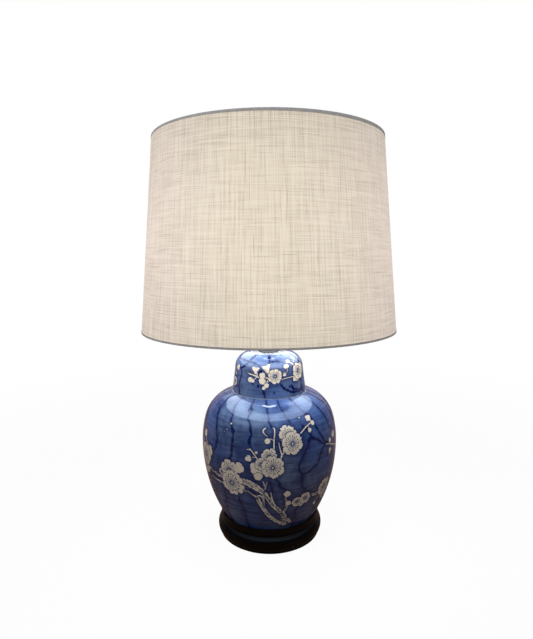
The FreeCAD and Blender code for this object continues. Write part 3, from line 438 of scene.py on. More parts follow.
def liner_finish(dress):
    """The translucent sheet behind the linen, with a faint glow painted on inside as the bulb's
    light, brightest at the bulb's height.
    """
    finish = Finish("styrene_liner", {"Roughness": 0.42, "Base Color": (0.72, 0.69, 0.62, 1)})
    grain = finish.noise(300, detail=3)
    # Painted light: a faint glow that falls off up and down from the bulb's height.
    bright = finish.fading(BULB_HEIGHT, 20.0, finish.span(grain, 0.3, 0.7, 0.86, 1.0))
    finish.glow(dress.inside_strength, bright, (1.0, 0.93, 0.80, 1))
    return finish.relief(grain, 0.05 * MM).material


def tape_finish(dress):
    """Ribbed trim tape: fine ribs across it, a little lint."""
    finish = Finish("ribbed_tape", {"Roughness": 0.8, "Sheen Weight": 0.1})
    turn = finish.times(finish.azimuth(), LINEN_RADIUS * math.tau / (0.9 * MM))
    ribs = finish.times(finish.sum("SINE", turn), 0.5, 0.5)
    lint = finish.clouds((180, 180, 500), 4, 0.3, 0.7)
    share = finish.times(ribs, 0.4, finish.times(lint, 0.6))
    finish.paint(Base_Color=finish.mix(share, rgba(dress.tape, 0.7), rgba(dress.tape)))
    return finish.relief(ribs, 0.15 * MM).material


def wood_finish(stand):
    """Black lacquered wood: long pores round the turning, worn a little in patches."""
    finish = Finish("black_lacquered_wood", {"Roughness": 0.25, "IOR": 1.32})
    grain = finish.span(finish.noise((30, 30, 900), detail=5, roughness=0.65), 0.42, 0.62)
    worn = finish.clouds(60, 4, 0.55, 0.8)
    tone = finish.mix(finish.times(worn, grain), rgba(stand.wood), rgba(stand.wood, 2.4))
    finish.paint(Base_Color=tone, Roughness=finish.times(worn, 0.10, 0.20))
    return finish.relief(grain, 0.06 * MM, 0.6).material


def metal_finish(name, tone, roughness):
    """Plated metal with the fine turning lines of its polishing."""
    finish = Finish(name, {"Metallic": 1.0, "Roughness": roughness})
    smudge = finish.clouds(90, 3, 0.35, 0.75)
    finish.paint(
        Base_Color=finish.mix(smudge, rgba(tone), rgba(tone, 0.8)),
        Roughness=finish.times(smudge, 0.12, roughness),
    )
    return finish.relief(finish.noise((40, 40, 2600), detail=3), 0.02 * MM).material


def moulded_finish(name, tone, roughness, grain=700, depth=0.04):
    """Moulded or pressed stuff with a fine grain and slight mottling."""
    finish = Finish(name, {"Roughness": roughness})
    mottle = finish.clouds(120, 4, 0.3, 0.7)
    finish.paint(Base_Color=finish.mix(mottle, rgba(tone, 0.7), rgba(tone)))
    return finish.relief(finish.noise(grain, detail=3), depth * MM).material


def felt_finish():
    """Pressed wool felt: a nap of short crossing fibres."""
    sockets = {"Roughness": 0.95, "Sheen Weight": 0.35, "Specular IOR Level": 0.1}
    finish = Finish("green_felt", sockets)
    ways = ((2400, 500, 900), (500, 2400, 900))
    fibres, crossing = (finish.noise(way, detail=5, roughness=0.7) for way in ways)
    nap = finish.times(fibres, 0.5, finish.times(crossing, 0.5))
    share = finish.span(nap, 0.4, 0.6)
    finish.paint(Base_Color=finish.mix(share, (0.008, 0.02, 0.013, 1), (0.022, 0.06, 0.035, 1)))
    return finish.relief(nap, 0.3 * MM).material


def bulb_finish(stand):
    """Frosted glass, lit from inside, dimmer towards its cap."""
    finish = Finish("frosted_glass", {"Base Color": (0.85, 0.83, 0.8, 1), "Roughness": 0.35})
    near = finish.span(finish.height(), 0.365, 0.400, 0.25, 1.0)
    finish.glow(stand.bulb_strength, near, (1.0, 0.97, 0.92, 1))
    return finish.relief(finish.noise(800), 0.02 * MM).material


def finishes(scene):
    """Each slot of the record with its finish."""
    stand = scene.lamp_stand
    dress = scene.lamp_shade
    return {
        "felt": felt_finish(),
        "ebonised_wood": wood_finish(stand),
        "cord_bushing_plastic": moulded_finish("bushing_plastic", (0.03, 0.03, 0.03), 0.45),
        "zinc_steel": metal_finish("zinc_steel", (0.56, 0.57, 0.58), 0.34),
        PORCELAIN: body_glaze(),
        "rubber": moulded_finish("cushion_rubber", (0.05, 0.05, 0.05), 0.7, 500, 0.08),
        "nickel": metal_finish("brushed_nickel", stand.nickel, 0.24),
        "brass": metal_finish("plain_brass", stand.brass, 0.26),
        "fibre_tube": moulded_finish("pressed_fibre", (0.42, 0.30, 0.18), 0.75, 400, 0.1),
        "phenolic": moulded_finish("black_phenolic", (0.035, 0.03, 0.028), 0.38),
        "black_knob": moulded_finish("knob_plastic", (0.02, 0.02, 0.02), 0.3),
        "frosted_glass": bulb_finish(stand),
        "bulb_cap_metal": metal_finish("cap_aluminium", (0.74, 0.74, 0.75), 0.28),
        "bulb_insulator_glass": moulded_finish("black_glass", (0.02, 0.02, 0.03), 0.12),
        "linen": linen_finish(dress, "linen_weave", dress.linen, 1.0),
        "styrene": liner_finish(dress),
        "grey_tape": tape_finish(dress),
    }


# ---------------------------------------------------------------- meshes


def placed(turn, radius, height):
    """The point at an azimuth in radians, a radius and a height."""
    return (math.sin(turn) * radius, -math.cos(turn) * radius, height)


def tube_faces(sections, loop, closed=False):
    """Quads round a loop of points, from each cross-section to the next."""
    faces = []
    size = len(loop)
    for i in range(sections if closed else sections - 1):
        here, there = i * size, (i + 1) % sections * size
        for k, m in zip(loop, [*loop[1:], loop[0]]):
            faces.append((here + k, here + m, there + m, there + k))
    return faces


def new_object(name, points, faces, material, sharp=180):
    """A smooth object in the scene, sharp at edges that turn more than so many degrees."""
    mesh = bpy.data.meshes.new(name)
    mesh.from_pydata(points, [], faces)
    mesh.shade_smooth()
    if sharp < 180:
        mesh.set_sharp_from_angle(angle=math.radians(sharp))
    mesh.materials.append(material)
    made = bpy.data.objects.new(name, mesh)
    bpy.context.scene.collection.objects.link(made)
    return made


def shade_piece(name, points, faces, material, sharp=180):
    piece = new_object(name, points, faces, material, sharp)
    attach(piece, "shade")
    return piece


def painted_piece(name, points, faces, material, attributes):
    """A coat of paint on the lamp, with a number at each point for each attribute."""
    piece = new_object(name, points, faces, material)
    for attribute, values in attributes.items():
        added = piece.data.attributes.new(attribute, "FLOAT", "POINT")
        added.data.foreach_set("value", values)
    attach(piece, "lamp")
    return piece


# ---------------------------------------------------------------- the turned porcelain
class Skin:
    """The outside of a turned node, as a smooth line of radius and height by its length."""

    def __init__(self, node, low, least_radius, over_top=False):
        rings = set()
        mesh = bpy.data.objects[node].data
        for face in mesh.polygons:
            spot = face.center
            radius = math.hypot(spot.x, spot.y)
            outwards = (face.normal.x * spot.x + face.normal.y * spot.y) / max(radius, 1e-6)
            if outwards < 0.02 and not (over_top and face.normal.z > 0.3):
                continue
            for index in face.vertices:
                point = mesh.vertices[index].co
                ring = math.hypot(point.x, point.y)
                if point.z > low and ring > least_radius:
                    rings.add((round(ring, 5), round(point.z, 5)))
        self.line = []
        for ring in sorted(rings, key=lambda ring: ring[1] - ring[0]):
            if not self.line or math.dist(ring, self.line[-1]) > 0.4 * MM:
                self.line.append(ring)
        self.arcs = [0.0]
        for before, after in zip(self.line, self.line[1:]):
            self.arcs.append(self.arcs[-1] + math.dist(before, after))
        self.length = self.arcs[-1]

    def at(self, arc):
        """Radius, height and the outward direction at a length along the line."""
        arc = min(max(arc, 0.0), self.length)
        i = min(max(bisect.bisect_right(self.arcs, arc) - 1, 0), len(self.arcs) - 2)
        span = self.arcs[i + 1] - self.arcs[i]
        t = (arc - self.arcs[i]) / span
        here, there = self.line[i], self.line[i + 1]
        slopes = [self.slope(j) for j in (i, i + 1)]
        place = []
        lean = []
        for k in (0, 1):
            p, q, m, n = here[k], there[k], slopes[0][k] * span, slopes[1][k] * span
            ends = (2 * t**3 - 3 * t**2 + 1) * p + (3 * t**2 - 2 * t**3) * q
            place.append(ends + (t**3 - 2 * t**2 + t) * m + (t**3 - t**2) * n)
            turns = (3 * t**2 - 4 * t + 1) * m + (3 * t**2 - 2 * t) * n
            lean.append((6 * t**2 - 6 * t) * (p - q) + turns)
        size = math.hypot(*lean)
        return place[0], place[1], lean[1] / size, -lean[0] / size

    def slope(self, j):
        """How radius and height change along the line at one of its rings."""
        runs = []
        for k in (j - 1, j):
            if 0 <= k < len(self.line) - 1:
                run = self.arcs[k + 1] - self.arcs[k]
                runs.append((run, [(b - a) / run for a, b in zip(self.line[k], self.line[k + 1])]))
        short, long = min(runs), max(runs)
        if long[0] > 3 * short[0]:
            return long[1]
        total = short[0] + long[0]
        return [(a * long[0] + b * short[0]) / total for a, b in zip(short[1], long[1])]

    def arc_of(self, height):
        """The length at which the line passes a height."""
        heights = [ring[1] for ring in self.line]
        i = min(max(bisect.bisect_left(heights, height), 1), len(heights) - 1)
        share = (height - heights[i - 1]) / max(heights[i] - heights[i - 1], 1e-9)
        return self.arcs[i - 1] + min(max(share, 0.0), 1.0) * (self.arcs[i] - self.arcs[i - 1])

    def point(self, turn, arc, lift):
        radius, height, out, up = self.at(arc)
        return placed(turn, radius + lift * out, height + lift * up)

    def spot(self, azimuth, height):
        """Turn and arc of a place given in degrees and millimetres."""
        return math.radians(azimuth), self.arc_of(height * MM)

    def beside(self, spot, across, up):
        """The place so far across and up the skin from a spot."""
        arc = spot[1] + up
        return spot[0] + across / max(self.at(arc)[0], 5 * MM), arc


class Coat:
    """Painted shapes on one skin, gathered into one mesh."""

    def __init__(self, skin):
        self.skin = skin
        self.points = []
        self.faces = []
        self.marks = []

    def add(self, turn, arc, lift, mark=0.0):
        self.points.append(self.skin.point(turn, arc, lift))
        self.marks.append(mark)
        return len(self.points) - 1

    def grid(self, rows, closed=False):
        """Rows of (turn, arc, lift, mark), joined by quads."""
        laid = [[self.add(*point) for point in row] for row in rows]
        for low, high in zip(laid, laid[1:]):
            count = len(low)
            for i in range(count if closed else count - 1):
                j = (i + 1) % count
                self.faces.append((low[i], low[j], high[j], high[i]))
        return laid

    def rings(self, out, count, rings, lift):
        """Closed rings at shares of a shape's reach, each with its mark."""
        rows = [
            [(*out(share, math.tau * i / count), lift, mark) for i in range(count)]
            for share, mark in rings
        ]
        return self.grid(rows, closed=True)

    def ribbon(self, path, widths, lift, marks=(0.0, 0.0, 0.0)):
        """A band along a path of (turn, arc), with a half width or one for each side."""
        rows = []
        last = len(path) - 1
        for i, (turn, arc) in enumerate(path):
            before, after = path[max(i - 1, 0)], path[min(i + 1, last)]
            radius = self.skin.at(arc)[0]
            run = (after[0] - before[0]) * radius
            rise = after[1] - before[1]
            size = math.hypot(run, rise) or 1.0
            side = (-rise / size, run / size)
            half = widths[i]
            left, right = half if isinstance(half, tuple) else (half, half)
            row = []
            for k, mark in enumerate(marks):
                share = 2 * k / (len(marks) - 1) - 1
                reach = share * (right if share > 0 else left)
                row.append((turn - side[0] * reach / radius, arc - side[1] * reach, lift, mark))
            rows.append(row)
        self.grid(rows)

def between(p, q, r, s, t):
    """The smooth curve through four numbers, a share t of the way from the second to the third."""
    bend = (2 * p - 5 * q + 4 * r - s) * t**2 + (3 * q - p - 3 * r + s) * t**3
    return 0.5 * (2 * q + (r - p) * t + bend)


def drawn(points, step):
    """A smooth line through points of any number of values, with a point every step."""
    line = []
    for i in range(len(points) - 1):
        a, b = points[max(i - 1, 0)], points[i]
        c, d = points[i + 1], points[min(i + 2, len(points) - 1)]
        count = max(int(math.dist(b[:2], c[:2]) / step), 1)
        for k in range(count):
            t = k / count
            line.append(tuple(between(*values, t) for values in zip(a, b, c, d)))
    return line + [tuple(points[-1])]


def wander(seed, place, scale):
    """A smooth random number from -1 to 1 along a line."""
    return noise.noise(Vector((place * scale, seed * 7.31, 0.5)))


def laid_path(skin, places, step=0.8):
    """A smooth path on a skin through places in degrees and millimetres."""
    flat = []
    for azimuth, height, *rest in places:
        turn, arc = skin.spot(azimuth, height)
        flat.append((turn * 0.1, arc, *rest))
    return [(point[0] / 0.1, *point[1:]) for point in drawn(flat, step * MM)]


# ---------------------------------------------------------------- the painted design

# Lines of the cracked ice: places in degrees and millimetres, from the ledge down.
JAR_CRACKS = (
    ((-60, 228), (-59, 222), (-57, 213), (-54.5, 206), (-51, 195), (-48.2, 182), (-46.5, 174),
     (-47.5, 165), (-50, 157)),
    ((-41, 228), (-39, 220), (-36.6, 211), (-35, 203), (-33, 197), (-31, 190), (-30.3, 181),
     (-30.6, 172), (-30.8, 165), (-31.4, 157), (-33, 151)),
    ((-21, 228), (-19.6, 219), (-18.6, 215), (-19.8, 209), (-17, 204), (-16.4, 197), (-14.6, 190),
     (-16, 184), (-15.6, 177), (-14.5, 169)),
    ((-4, 228), (-2.8, 221), (-1.2, 214), (-0.6, 207), (2.6, 199)),
    ((11, 228), (11.6, 223), (14.5, 213), (17, 207), (17.8, 204)),
    ((29, 228), (31, 221), (34.5, 214), (39, 208), (41, 200), (42.5, 192), (46, 181), (49, 171),
     (53, 165), (58, 162)),
    ((28, 199), (33, 191), (35.6, 182), (33, 178), (31.5, 172), (28, 162), (25.6, 155), (23.6, 148),
     (23.3, 140), (25.2, 132)),
    ((25.2, 132), (26.5, 125), (26.5, 115), (28, 108), (31.5, 102), (38, 99)),
    ((35.6, 180), (41, 176.5), (46, 169), (50, 165)),
    ((25.4, 131.5), (31, 131.5), (36, 136), (41, 141), (43, 147), (45, 155), (48, 162)),
    ((69, 228), (70.2, 222), (74.2, 213), (72.2, 201), (76, 180), (73, 160), (78, 140)),
    ((53, 228), (53.6, 222), (56, 213), (58.5, 198), (60.5, 185), (67.5, 175)),
    ((-25.8, 97), (-26.6, 88), (-24.2, 77), (-24, 66), (-24.4, 51), (-24, 38)),
    ((-41.8, 101), (-41.5, 93), (-43, 82), (-45.5, 70), (-47, 55), (-47, 38)),
    ((26.5, 80), (24.5, 73), (24, 61), (26, 38)),
    ((7, 124), (7.6, 117), (12, 111.5), (14, 109)),
    ((-0.4, 127), (1.2, 116), (2, 106)),
    ((-76, 228), (-76.8, 221), (-75, 200), (-71, 180), (-74, 160)),
    ((-66, 112), (-63, 90), (-66, 64), (-64, 38)),
    ((-60, 119), (-50, 117), (-41, 114)),
    ((-21, 112), (-13, 106), (-7, 101.8)),
    ((4.6, 128), (7.4, 124), (7, 117)),
    ((52, 84), (50, 66), (52, 38)),
)

# Blossoms: azimuth, height, radius, petals, turn in degrees, layer, stamens drawn or not.
JAR_BLOSSOMS = (
    (-33.5, 136, 14.5, 6, 12, 0, True),
    (-24.6, 141.5, 8.5, 4, 38, 0, False),
    (-41.5, 129, 5.5, 5, 10, 0, True),
    (-31.8, 116.3, 19.5, 6, 4, 2, True),
    (-0.6, 162, 11.8, 6, 25, 0, True),
    (-6.5, 150.5, 9.5, 6, 0, 1, True),
    (-12.2, 147.2, 6.2, 4, 90, 0, False),
    (-11.8, 141.2, 6.0, 5, 20, 0, False),
    (-9.0, 132.4, 6.4, 5, 50, 1, False),
    (-7.0, 138.6, 5.4, 5, 0, 0, False),
    (2.2, 146, 16.5, 6, 8, 2, True),
    (14.6, 190.5, 13.2, 6, 30, 0, True),
    (18.0, 177.5, 16.5, 6, 14, 2, True),
    (23.6, 88, 8.5, 5, 5, 1, True),
    (31.4, 91, 9.5, 6, 33, 2, True),
    (14.2, 104, 5.3, 5, 0, 1, False),
    (15.6, 88, 4.5, 5, 12, 0, False),
    (-64.0, 143, 17, 6, 20, 1, True),
    (-67.0, 125, 14, 6, 5, 0, True),
    (-57.0, 152, 8.5, 5, 33, 0, False),
    (28.0, 84.4, 6.6, 5, 15, 0, False),
    (54.0, 96, 15.0, 6, 10, 1, True),
    (57.0, 82, 8, 5, 30, 0, True),
)

# Buds, and four tiny white dots as painted glints: azimuth, height, radius, turn, lobes, depth
# between the lobes.
JAR_BUDS = (
    (-66.5, 173, 6, 80, 3, 0.18),
    (45.6, 73.5, 3.6, 20, 3, 0.18),
    (66, 170.5, 5.8, 70, 3, 0.18),
    (58.4, 166, 4, 120, 3, 0.18),
    (57.8, 151.5, 4.6, 250, 3, 0.18),
    (36.0, 206, 5.0, 45, 4, 0.22),
    (39.4, 199.2, 3.6, 110, 2, 0.10),
    (34.7, 191.8, 3.4, 250, 3, 0.14),
    (-1.5, 183, 4.0, 200, 2, 0.06),
    (-16.2, 158, 5, 200, 3, 0.22),
    (-10.4, 167, 2.0, 0, 2, 0.1),
    (62.5, 158, 2.4, 200, 3, 0.18),
    # The last four rows are no buds but tiny white dots: painted glints of light on the glaze.
    (-34.3, 200.4, 1.5, 0, 2, 0.2),
    (-37.3, 192.2, 0.9, 0, 2, 0.2),
    (-39.6, 188.6, 0.6, 0, 2, 0.2),
    (27.4, 208.8, 1.0, 0, 2, 0.2),
)

# Blots where the ink has run together: azimuth, height, radius.
JAR_BLOTS = (
    (-29.9, 171.6, 2.1), (-30.9, 164.3, 1.7), (-31.4, 157.2, 1.5), (-30.2, 181, 1.0),
    (-15.6, 184, 1.4), (-15.8, 177.4, 1.7), (-14.4, 167, 1.9), (-12.0, 163.6, 1.5),
    (29.0, 131.6, 1.5), (32.0, 132.6, 1.8), (35.0, 134.6, 1.1), (8.6, 168.5, 1.1),
    (8.9, 163.8, 1.6), (7.4, 116.4, 1.5), (10.6, 112.8, 1.4), (17.4, 205, 1.3),
    (11.4, 224, 1.1), (11.8, 219.6, 1.2), (-18.5, 208.5, 1.1), (40.8, 202.5, 1.4),
    (36.2, 179, 1.3), (45.2, 171, 1.5), (-6.3, 103.2, 1.4), (12.6, 80, 1.8),
    (-1.2, 213.4, 0.9), (-50, 157.6, 1.8), (-46.9, 173, 1.2), (25.4, 131.4, 1.6),
)

# Clouds of heavy wash beside the flowers: azimuth, height, radius, depth.
JAR_CLOUDS = (
    (-22, 186, 11, 0.45), (-22, 170, 11, 0.60), (-9, 192, 7, 0.40), (-39, 172, 8, 0.30),
    (-17.5, 142, 4, 0.75), (-16.5, 131, 5, 0.60), (-7, 176, 8, 0.55), (-2, 172.5, 3, 0.60),
    (6.5, 168, 3, 0.60), (2, 121, 6, 0.50), (9, 115, 5, 0.50), (5, 108, 5, 0.45),
    (-14, 108.5, 2, 0.75), (-44, 144, 4, 0.50), (30, 107, 6, 0.40), (16, 158, 5, 0.45),
    (24, 166, 5, 0.35), (27, 198, 5, 0.30), (-14, 75, 5, 0.30), (20, 71, 5, 0.35),
    (4, 74, 3, 0.45), (-2, 60, 4, 0.30), (42, 82, 5, 0.35), (-50, 117, 2, 0.70),
)
LID_CLOUDS = (
    (-14, 268, 3, 0.55), (-15, 247, 5, 0.40), (-28, 262, 3, 0.35), (24, 268, 3, 0.40),
    (-58, 244, 5, 0.45), (46, 240, 5, 0.35), (-8, 238, 3, 0.45), (-45, 268, 5, 0.35),
    (30, 251, 4, 0.25),
)

# Boughs: places with a half width, thick end first; the number is how heavily they are barked.
JAR_BOUGHS = (
    (1.0, ((21, 49.6, 2.0), (18.4, 54.6, 2.5), (15, 61.6, 2.8), (11.4, 69.5, 3.0), (7.8, 76.4, 3.0),
           (3.8, 84, 3.0), (0.8, 91, 2.8), (-1.6, 98, 2.7), (-4.4, 106, 3.3), (-10.0, 114.2, 4.6),
           (-19, 121.4, 4.8), (-30, 121.5, 2.6), (-45, 121, 2.1), (-58, 125, 2.0))),
    (1.0, ((16.4, 46.4, 1.6), (14.6, 53, 2.0), (12.6, 59, 1.9), (11.4, 66, 1.4))),
    (1.0, ((15, 46.4, 1.8), (11, 51.2, 2.8), (5.6, 56.8, 2.7), (1.0, 63.4, 2.7), (-2.4, 70.5, 2.8),
           (-5.0, 78, 2.9), (-7.2, 85.5, 2.9), (-9.0, 92, 2.8), (-10.4, 98.4, 2.0),
           (-13.5, 102.4, 1.1), (-19.5, 108.2, 1.4), (-31, 108, 1.6), (-45, 111, 1.5),
           (-57, 113, 1.4))),
    (0.6, ((-4.6, 78, 1.4), (-5.4, 88, 1.3), (-5.4, 97, 1.4), (-4.8, 106, 1.3), (-3.9, 114, 1.0),
           (-3, 120, 0.9), (-1.8, 124.6, 0.6))),
    (0.5, ((-11.6, 99, 0.9), (-9.6, 101.6, 1.2), (-7.6, 102, 1.2), (-6, 99, 0.9))),
    (0.0, ((-4.4, 118, 0.5), (-4.6, 122, 0.6), (-5.6, 126.4, 0.3))),
    (0.5, ((3.4, 86, 1.9), (2.0, 93, 1.7), (1.2, 100, 1.2), (0.8, 108, 0.5))),
    (0.6, ((11.6, 70, 1.9), (13.4, 76, 1.7), (14.4, 83, 1.6), (13.6, 91, 1.3), (12.6, 98.5, 0.7))),
    (0.0, ((22, 84, 0.5), (18, 86, 0.5), (15.6, 84, 0.6))),
    (0.3, ((3.2, 172, 0.9), (3.4, 183, 0.85), (4.1, 197, 0.8), (2.6, 199.6, 0.4))),
    (0.0, ((3.4, 183.4, 0.4), (1.2, 185.4, 0.4), (-0.6, 186, 0.4))),
    (0.0, ((-3.2, 199.4, 0.8), (-4.9, 197.4, 1.0), (-5.2, 194.4, 0.9), (-3.9, 191.8, 0.5),
           (-1.6, 188.6, 0.3))),
    (0.2, ((-7.5, 153, 0.9), (-10.2, 160, 0.8), (-14.4, 169.4, 0.7), (-18, 170.2, 0.5))),
    (0.0, ((-14.4, 169.4, 0.5), (-15.6, 172.6, 0.3))),
    (0.0, ((-10.4, 160.4, 0.4), (-13.5, 160, 0.4))),
    (0.4, ((8.6, 158, 1.2), (9.4, 164, 1.0), (12.0, 168, 0.8))),
    (0.2, ((9.2, 164, 0.9), (8.0, 171, 0.7), (7.0, 181, 0.3))),
    (0.2, ((25.5, 189.4, 0.9), (31, 195.8, 0.75), (36, 199.4, 0.7), (39, 200.6, 0.6))),
    (0.0, ((33.5, 197.4, 0.35), (34.7, 194, 0.35))),
    (0.2, ((52, 164, 0.7), (60, 159.5, 0.8), (69.5, 152.5, 1.0), (76, 150, 1.0))),
    (0.0, ((60, 159.5, 0.4), (58.6, 155, 0.35))),
    (0.0, ((63, 158, 0.4), (65, 166, 0.35))),
    (0.2, ((38.4, 92.5, 0.8), (43.4, 92, 0.6), (49, 93, 0.6))),
    (0.0, ((39.4, 90.5, 0.5), (45.4, 88, 0.5), (50.4, 89, 0.4))),
    (0.0, ((51.4, 88, 0.4), (46.8, 76, 0.35))),
    (0.2, ((-61, 160, 0.9), (-64, 166, 0.7), (-66, 171, 0.5))),
    (0.4, ((-58, 124, 1.8), (-70, 126, 1.4), (-78, 131, 0.9), (-84, 140, 0.5))),
)

LID_CRACKS = (
    ((-72, 282), (-50, 281), (-30, 280), (-18.5, 276.5), (-12, 272.5)),
    ((0, 288.6), (0.4, 284), (0, 279), (0.6, 274)),
    ((2, 281.5), (14, 281.5), (26, 280)),
    ((-12, 247), (-9.5, 242), (-7.5, 236), (-6.5, 231)),
    ((-52, 270), (-50, 260), (-55, 246), (-51, 231)),
    ((58, 256), (62, 248), (60, 240), (66, 231)),
    ((36, 246), (42, 240), (50, 238)),
    ((-34, 288.6), (-36, 284), (-40, 279), (-48, 272), (-62, 268)),
    ((66, 288.6), (64, 282), (70, 272), (66, 262)),
    ((18, 250), (24, 243), (38, 236), (56, 236), (64, 240)),
)

LID_BLOSSOMS = (
    (9.3, 261.6, 11, 8, 10, 2, True),
    (55, 264.8, 12.5, 7, 20, 2, True),
    (63, 267.6, 8.5, 4, 10, 0, False),
    (45.2, 254.6, 4.2, 4, 0, 0, False),
    (50.0, 254.2, 4.0, 4, 30, 0, False),
    (-10.8, 262.6, 4.9, 4, 15, 1, False),
    (-11.0, 254.6, 5.2, 5, 40, 1, False),
    (-5.2, 256.5, 4.6, 5, 0, 0, True),
    (-4.2, 248.6, 3.8, 5, 0, 1, False),
    (-70, 247, 7, 6, 0, 1, True),
)

LID_BUDS = (
    (-4.0, 273.8, 7.4, 292, 3, 0.46),
    (-22.0, 270.0, 6.6, 150, 3, 0.44),
    (-30.6, 255.4, 4.2, 190, 2, 0.08),
    (-26.4, 253.8, 2.8, 60, 2, 0.2),
    (-8.4, 244.8, 2.7, 220, 3, 0.18),
    (29, 274.4, 4.6, 10, 2, 0.30),
    (25.2, 262.8, 3.0, 90, 3, 0.3),
    (-62, 269, 4.6, 60, 3, 0.18),
    (35.4, 280.6, 3.8, 10, 2, 0.3),
    (52.5, 283.6, 4.0, 60, 3, 0.3),
)

LID_BLOTS = (
    (-13.4, 269, 2.2), (-15.8, 265.8, 1.7), (-17.2, 247, 2.1), (-8.2, 238.4, 2.0),
    (-26.4, 249.6, 1.5), (33, 244.6, 1.6), (7.2, 237.6, 1.3), (-60, 242, 2.0),
    (52, 234.6, 1.6), (-60, 266.5, 1.4), (22.5, 258.8, 1.3),
)

LID_BOUGHS = (
    (0.1, ((-37, 266.4, 0.6), (-33.5, 264, 0.8), (-26, 262.6, 0.9), (-20, 261, 0.9),
           (-16, 259.5, 0.8))),
    (0.0, ((-20, 267, 0.7), (-19.2, 259.6, 0.8))),
    (0.0, ((-20, 260, 0.6), (-24, 256.6, 0.6), (-27.5, 255.6, 0.5))),
    (0.1, ((-13, 275.8, 0.5), (-7.6, 271, 0.7), (-2.6, 265.8, 0.8))),
    (0.3, ((19, 256.4, 0.6), (30, 257.8, 0.5), (43, 258.4, 0.6))),
    (0.0, ((30, 272, 0.5), (30.6, 268, 0.4), (27, 263.6, 0.4))),
    (0.2, ((38, 280, 0.8), (43, 277, 0.9), (48, 271.6, 0.8))),
    (0.0, ((48, 278, 0.5), (50, 281.5, 0.5))),
    (0.2, ((-66, 258, 0.8), (-74, 262, 0.7), (-82, 263, 0.4))),
)


def turned_round(rows):
    """The same design on the back, mirrored, a little lower, as the painter repeats it."""
    return [(180 - azimuth, height - 2.0, *rest) for azimuth, height, *rest in rows]


def both_sides(rows):
    return [*rows, *turned_round(rows)]


def spare_cracks(low, high, sides):
    """Lines of the ice down the sides that the design leaves open."""
    lines = []
    bends = 6
    for first, last, seed in sides:
        draw = random.Random(seed)
        azimuth = first
        while azimuth < last:
            bottom = draw.uniform(low, low + 0.45 * (high - low))
            line = [(azimuth, high)]
            for i in range(1, bends + 1):
                stray = azimuth + draw.uniform(-5, 5)
                line.append((stray, high + (bottom - high) * i / bends))
            lines.append(line)
            azimuth += draw.uniform(11, 17)
    return lines


def blossom_edge(radius, petals, draw):
    """How far a blossom reaches in each direction: round petals with crinkled, nicked tips."""
    sizes = [draw.uniform(0.90, 1.05) for _ in range(petals)]
    nicks = [draw.uniform(0.2, 0.8) for _ in range(petals)]
    phases = [draw.uniform(0, math.tau) for _ in range(3)]
    waves = tuple(zip((0.020, 0.018, 0.012), (11, 19, 31), phases))

    def reach(turn):
        share = (turn % math.tau) / math.tau * petals
        k = int(share) % petals
        along = share - int(share)
        side = abs(2 * along - 1)
        swell = math.sqrt(max(1 - side**3.6, 0.0))
        crinkle = sum(weight * math.sin(beat * turn + phase) for weight, beat, phase in waves)
        nick = 0.07 * max(0.0, 1 - ((along - nicks[k]) / 0.09) ** 2)
        return radius * (0.71 + (sizes[k] - 0.71 - nick) * swell + crinkle)

    return reach


def round_spot(skin, place, turned, reach):
    """A spot, and the way to a share of a shape's reach in any direction from it."""
    spot = skin.spot(*place[:2])
    start = math.radians(turned)

    def out(share, angle):
        far = share * reach(angle)
        return skin.beside(spot, far * math.cos(angle + start), far * math.sin(angle + start))

    return spot, out


def white_shape(coats, spot, out, count, rings, lift, margin):
    """A white shape round a spot, rimmed by ink that shows a little beyond its edge."""
    white = coats["white"]
    laid = white.rings(out, count, rings, lift)
    middle = white.add(*spot, lift)
    for i in range(count):
        white.faces.append((middle, laid[0][(i + 1) % count], laid[0][i]))
    coats["ink"].rings(out, count, ((0.94, 0), (1.0 + margin, 0)), lift - 0.02 * MM)


def stamens_of(coats, out, size, lift, draw):
    """Fine lines out from the middle, each ending in a dark anther."""
    fine = coats["fine"]
    top = lift + STROKE_RISE
    rays = round(12 + 0.45 * size)
    for k in range(rays):
        angle = math.tau * k / rays + draw.uniform(-0.06, 0.06)
        end = draw.uniform(0.49, 0.60)
        path = [out(0.1 + (end - 0.1) * t / 4, angle) for t in range(5)]
        coats["strokes"].ribbon(path, [fine * w for w in (0.8, 0.8, 0.75, 0.7, 0.6)], top)
        tip = end + draw.uniform(0.02, 0.05)
        path = [out(tip + 0.125 * t / 4, angle + draw.uniform(-0.01, 0.01)) for t in range(5)]
        fat = size * MM * draw.uniform(0.044, 0.062)
        coats["ink"].ribbon(path, [fat * w for w in (0.45, 0.95, 1.0, 0.9, 0.4)], top)
    coats["white"].rings(out, 16, ((0.004, 0), (0.09, 0)), top + 0.04 * MM)
    coats["strokes"].rings(out, 16, ((0.085, 0), (0.11, 0)), top)


def paint_blossom(coats, skin, place, draw):
    """Petals, a rim of ink round them, and the brush strokes on them."""
    _, _, size, petals, turned, layer, stamens = place
    spot, out = round_spot(skin, place, turned, blossom_edge(size * MM, petals, draw))
    lift = LAYERS[layer]
    rings = ((0.12, 0), (0.4, 0), (0.7, 0), (0.9, 0), (0.97, 0.15), (1.0, 0.8))
    white_shape(coats, spot, out, 16 * petals, rings, lift, 0.9 / size)
    if not stamens:
        return
    for k in range(petals):
        angle = math.tau * k / petals
        bend = draw.uniform(-0.12, 0.12)
        inner = draw.uniform(0.62, 0.76)
        path = [out(inner + (1 - inner) * t / 5, angle + bend * (1 - t / 5)) for t in range(6)]
        widths = [coats["fine"] * (0.1 + 0.6 * t / 5) for t in range(6)]
        coats["strokes"].ribbon(path, widths, lift + STROKE_RISE)
    stamens_of(coats, out, size, lift, draw)


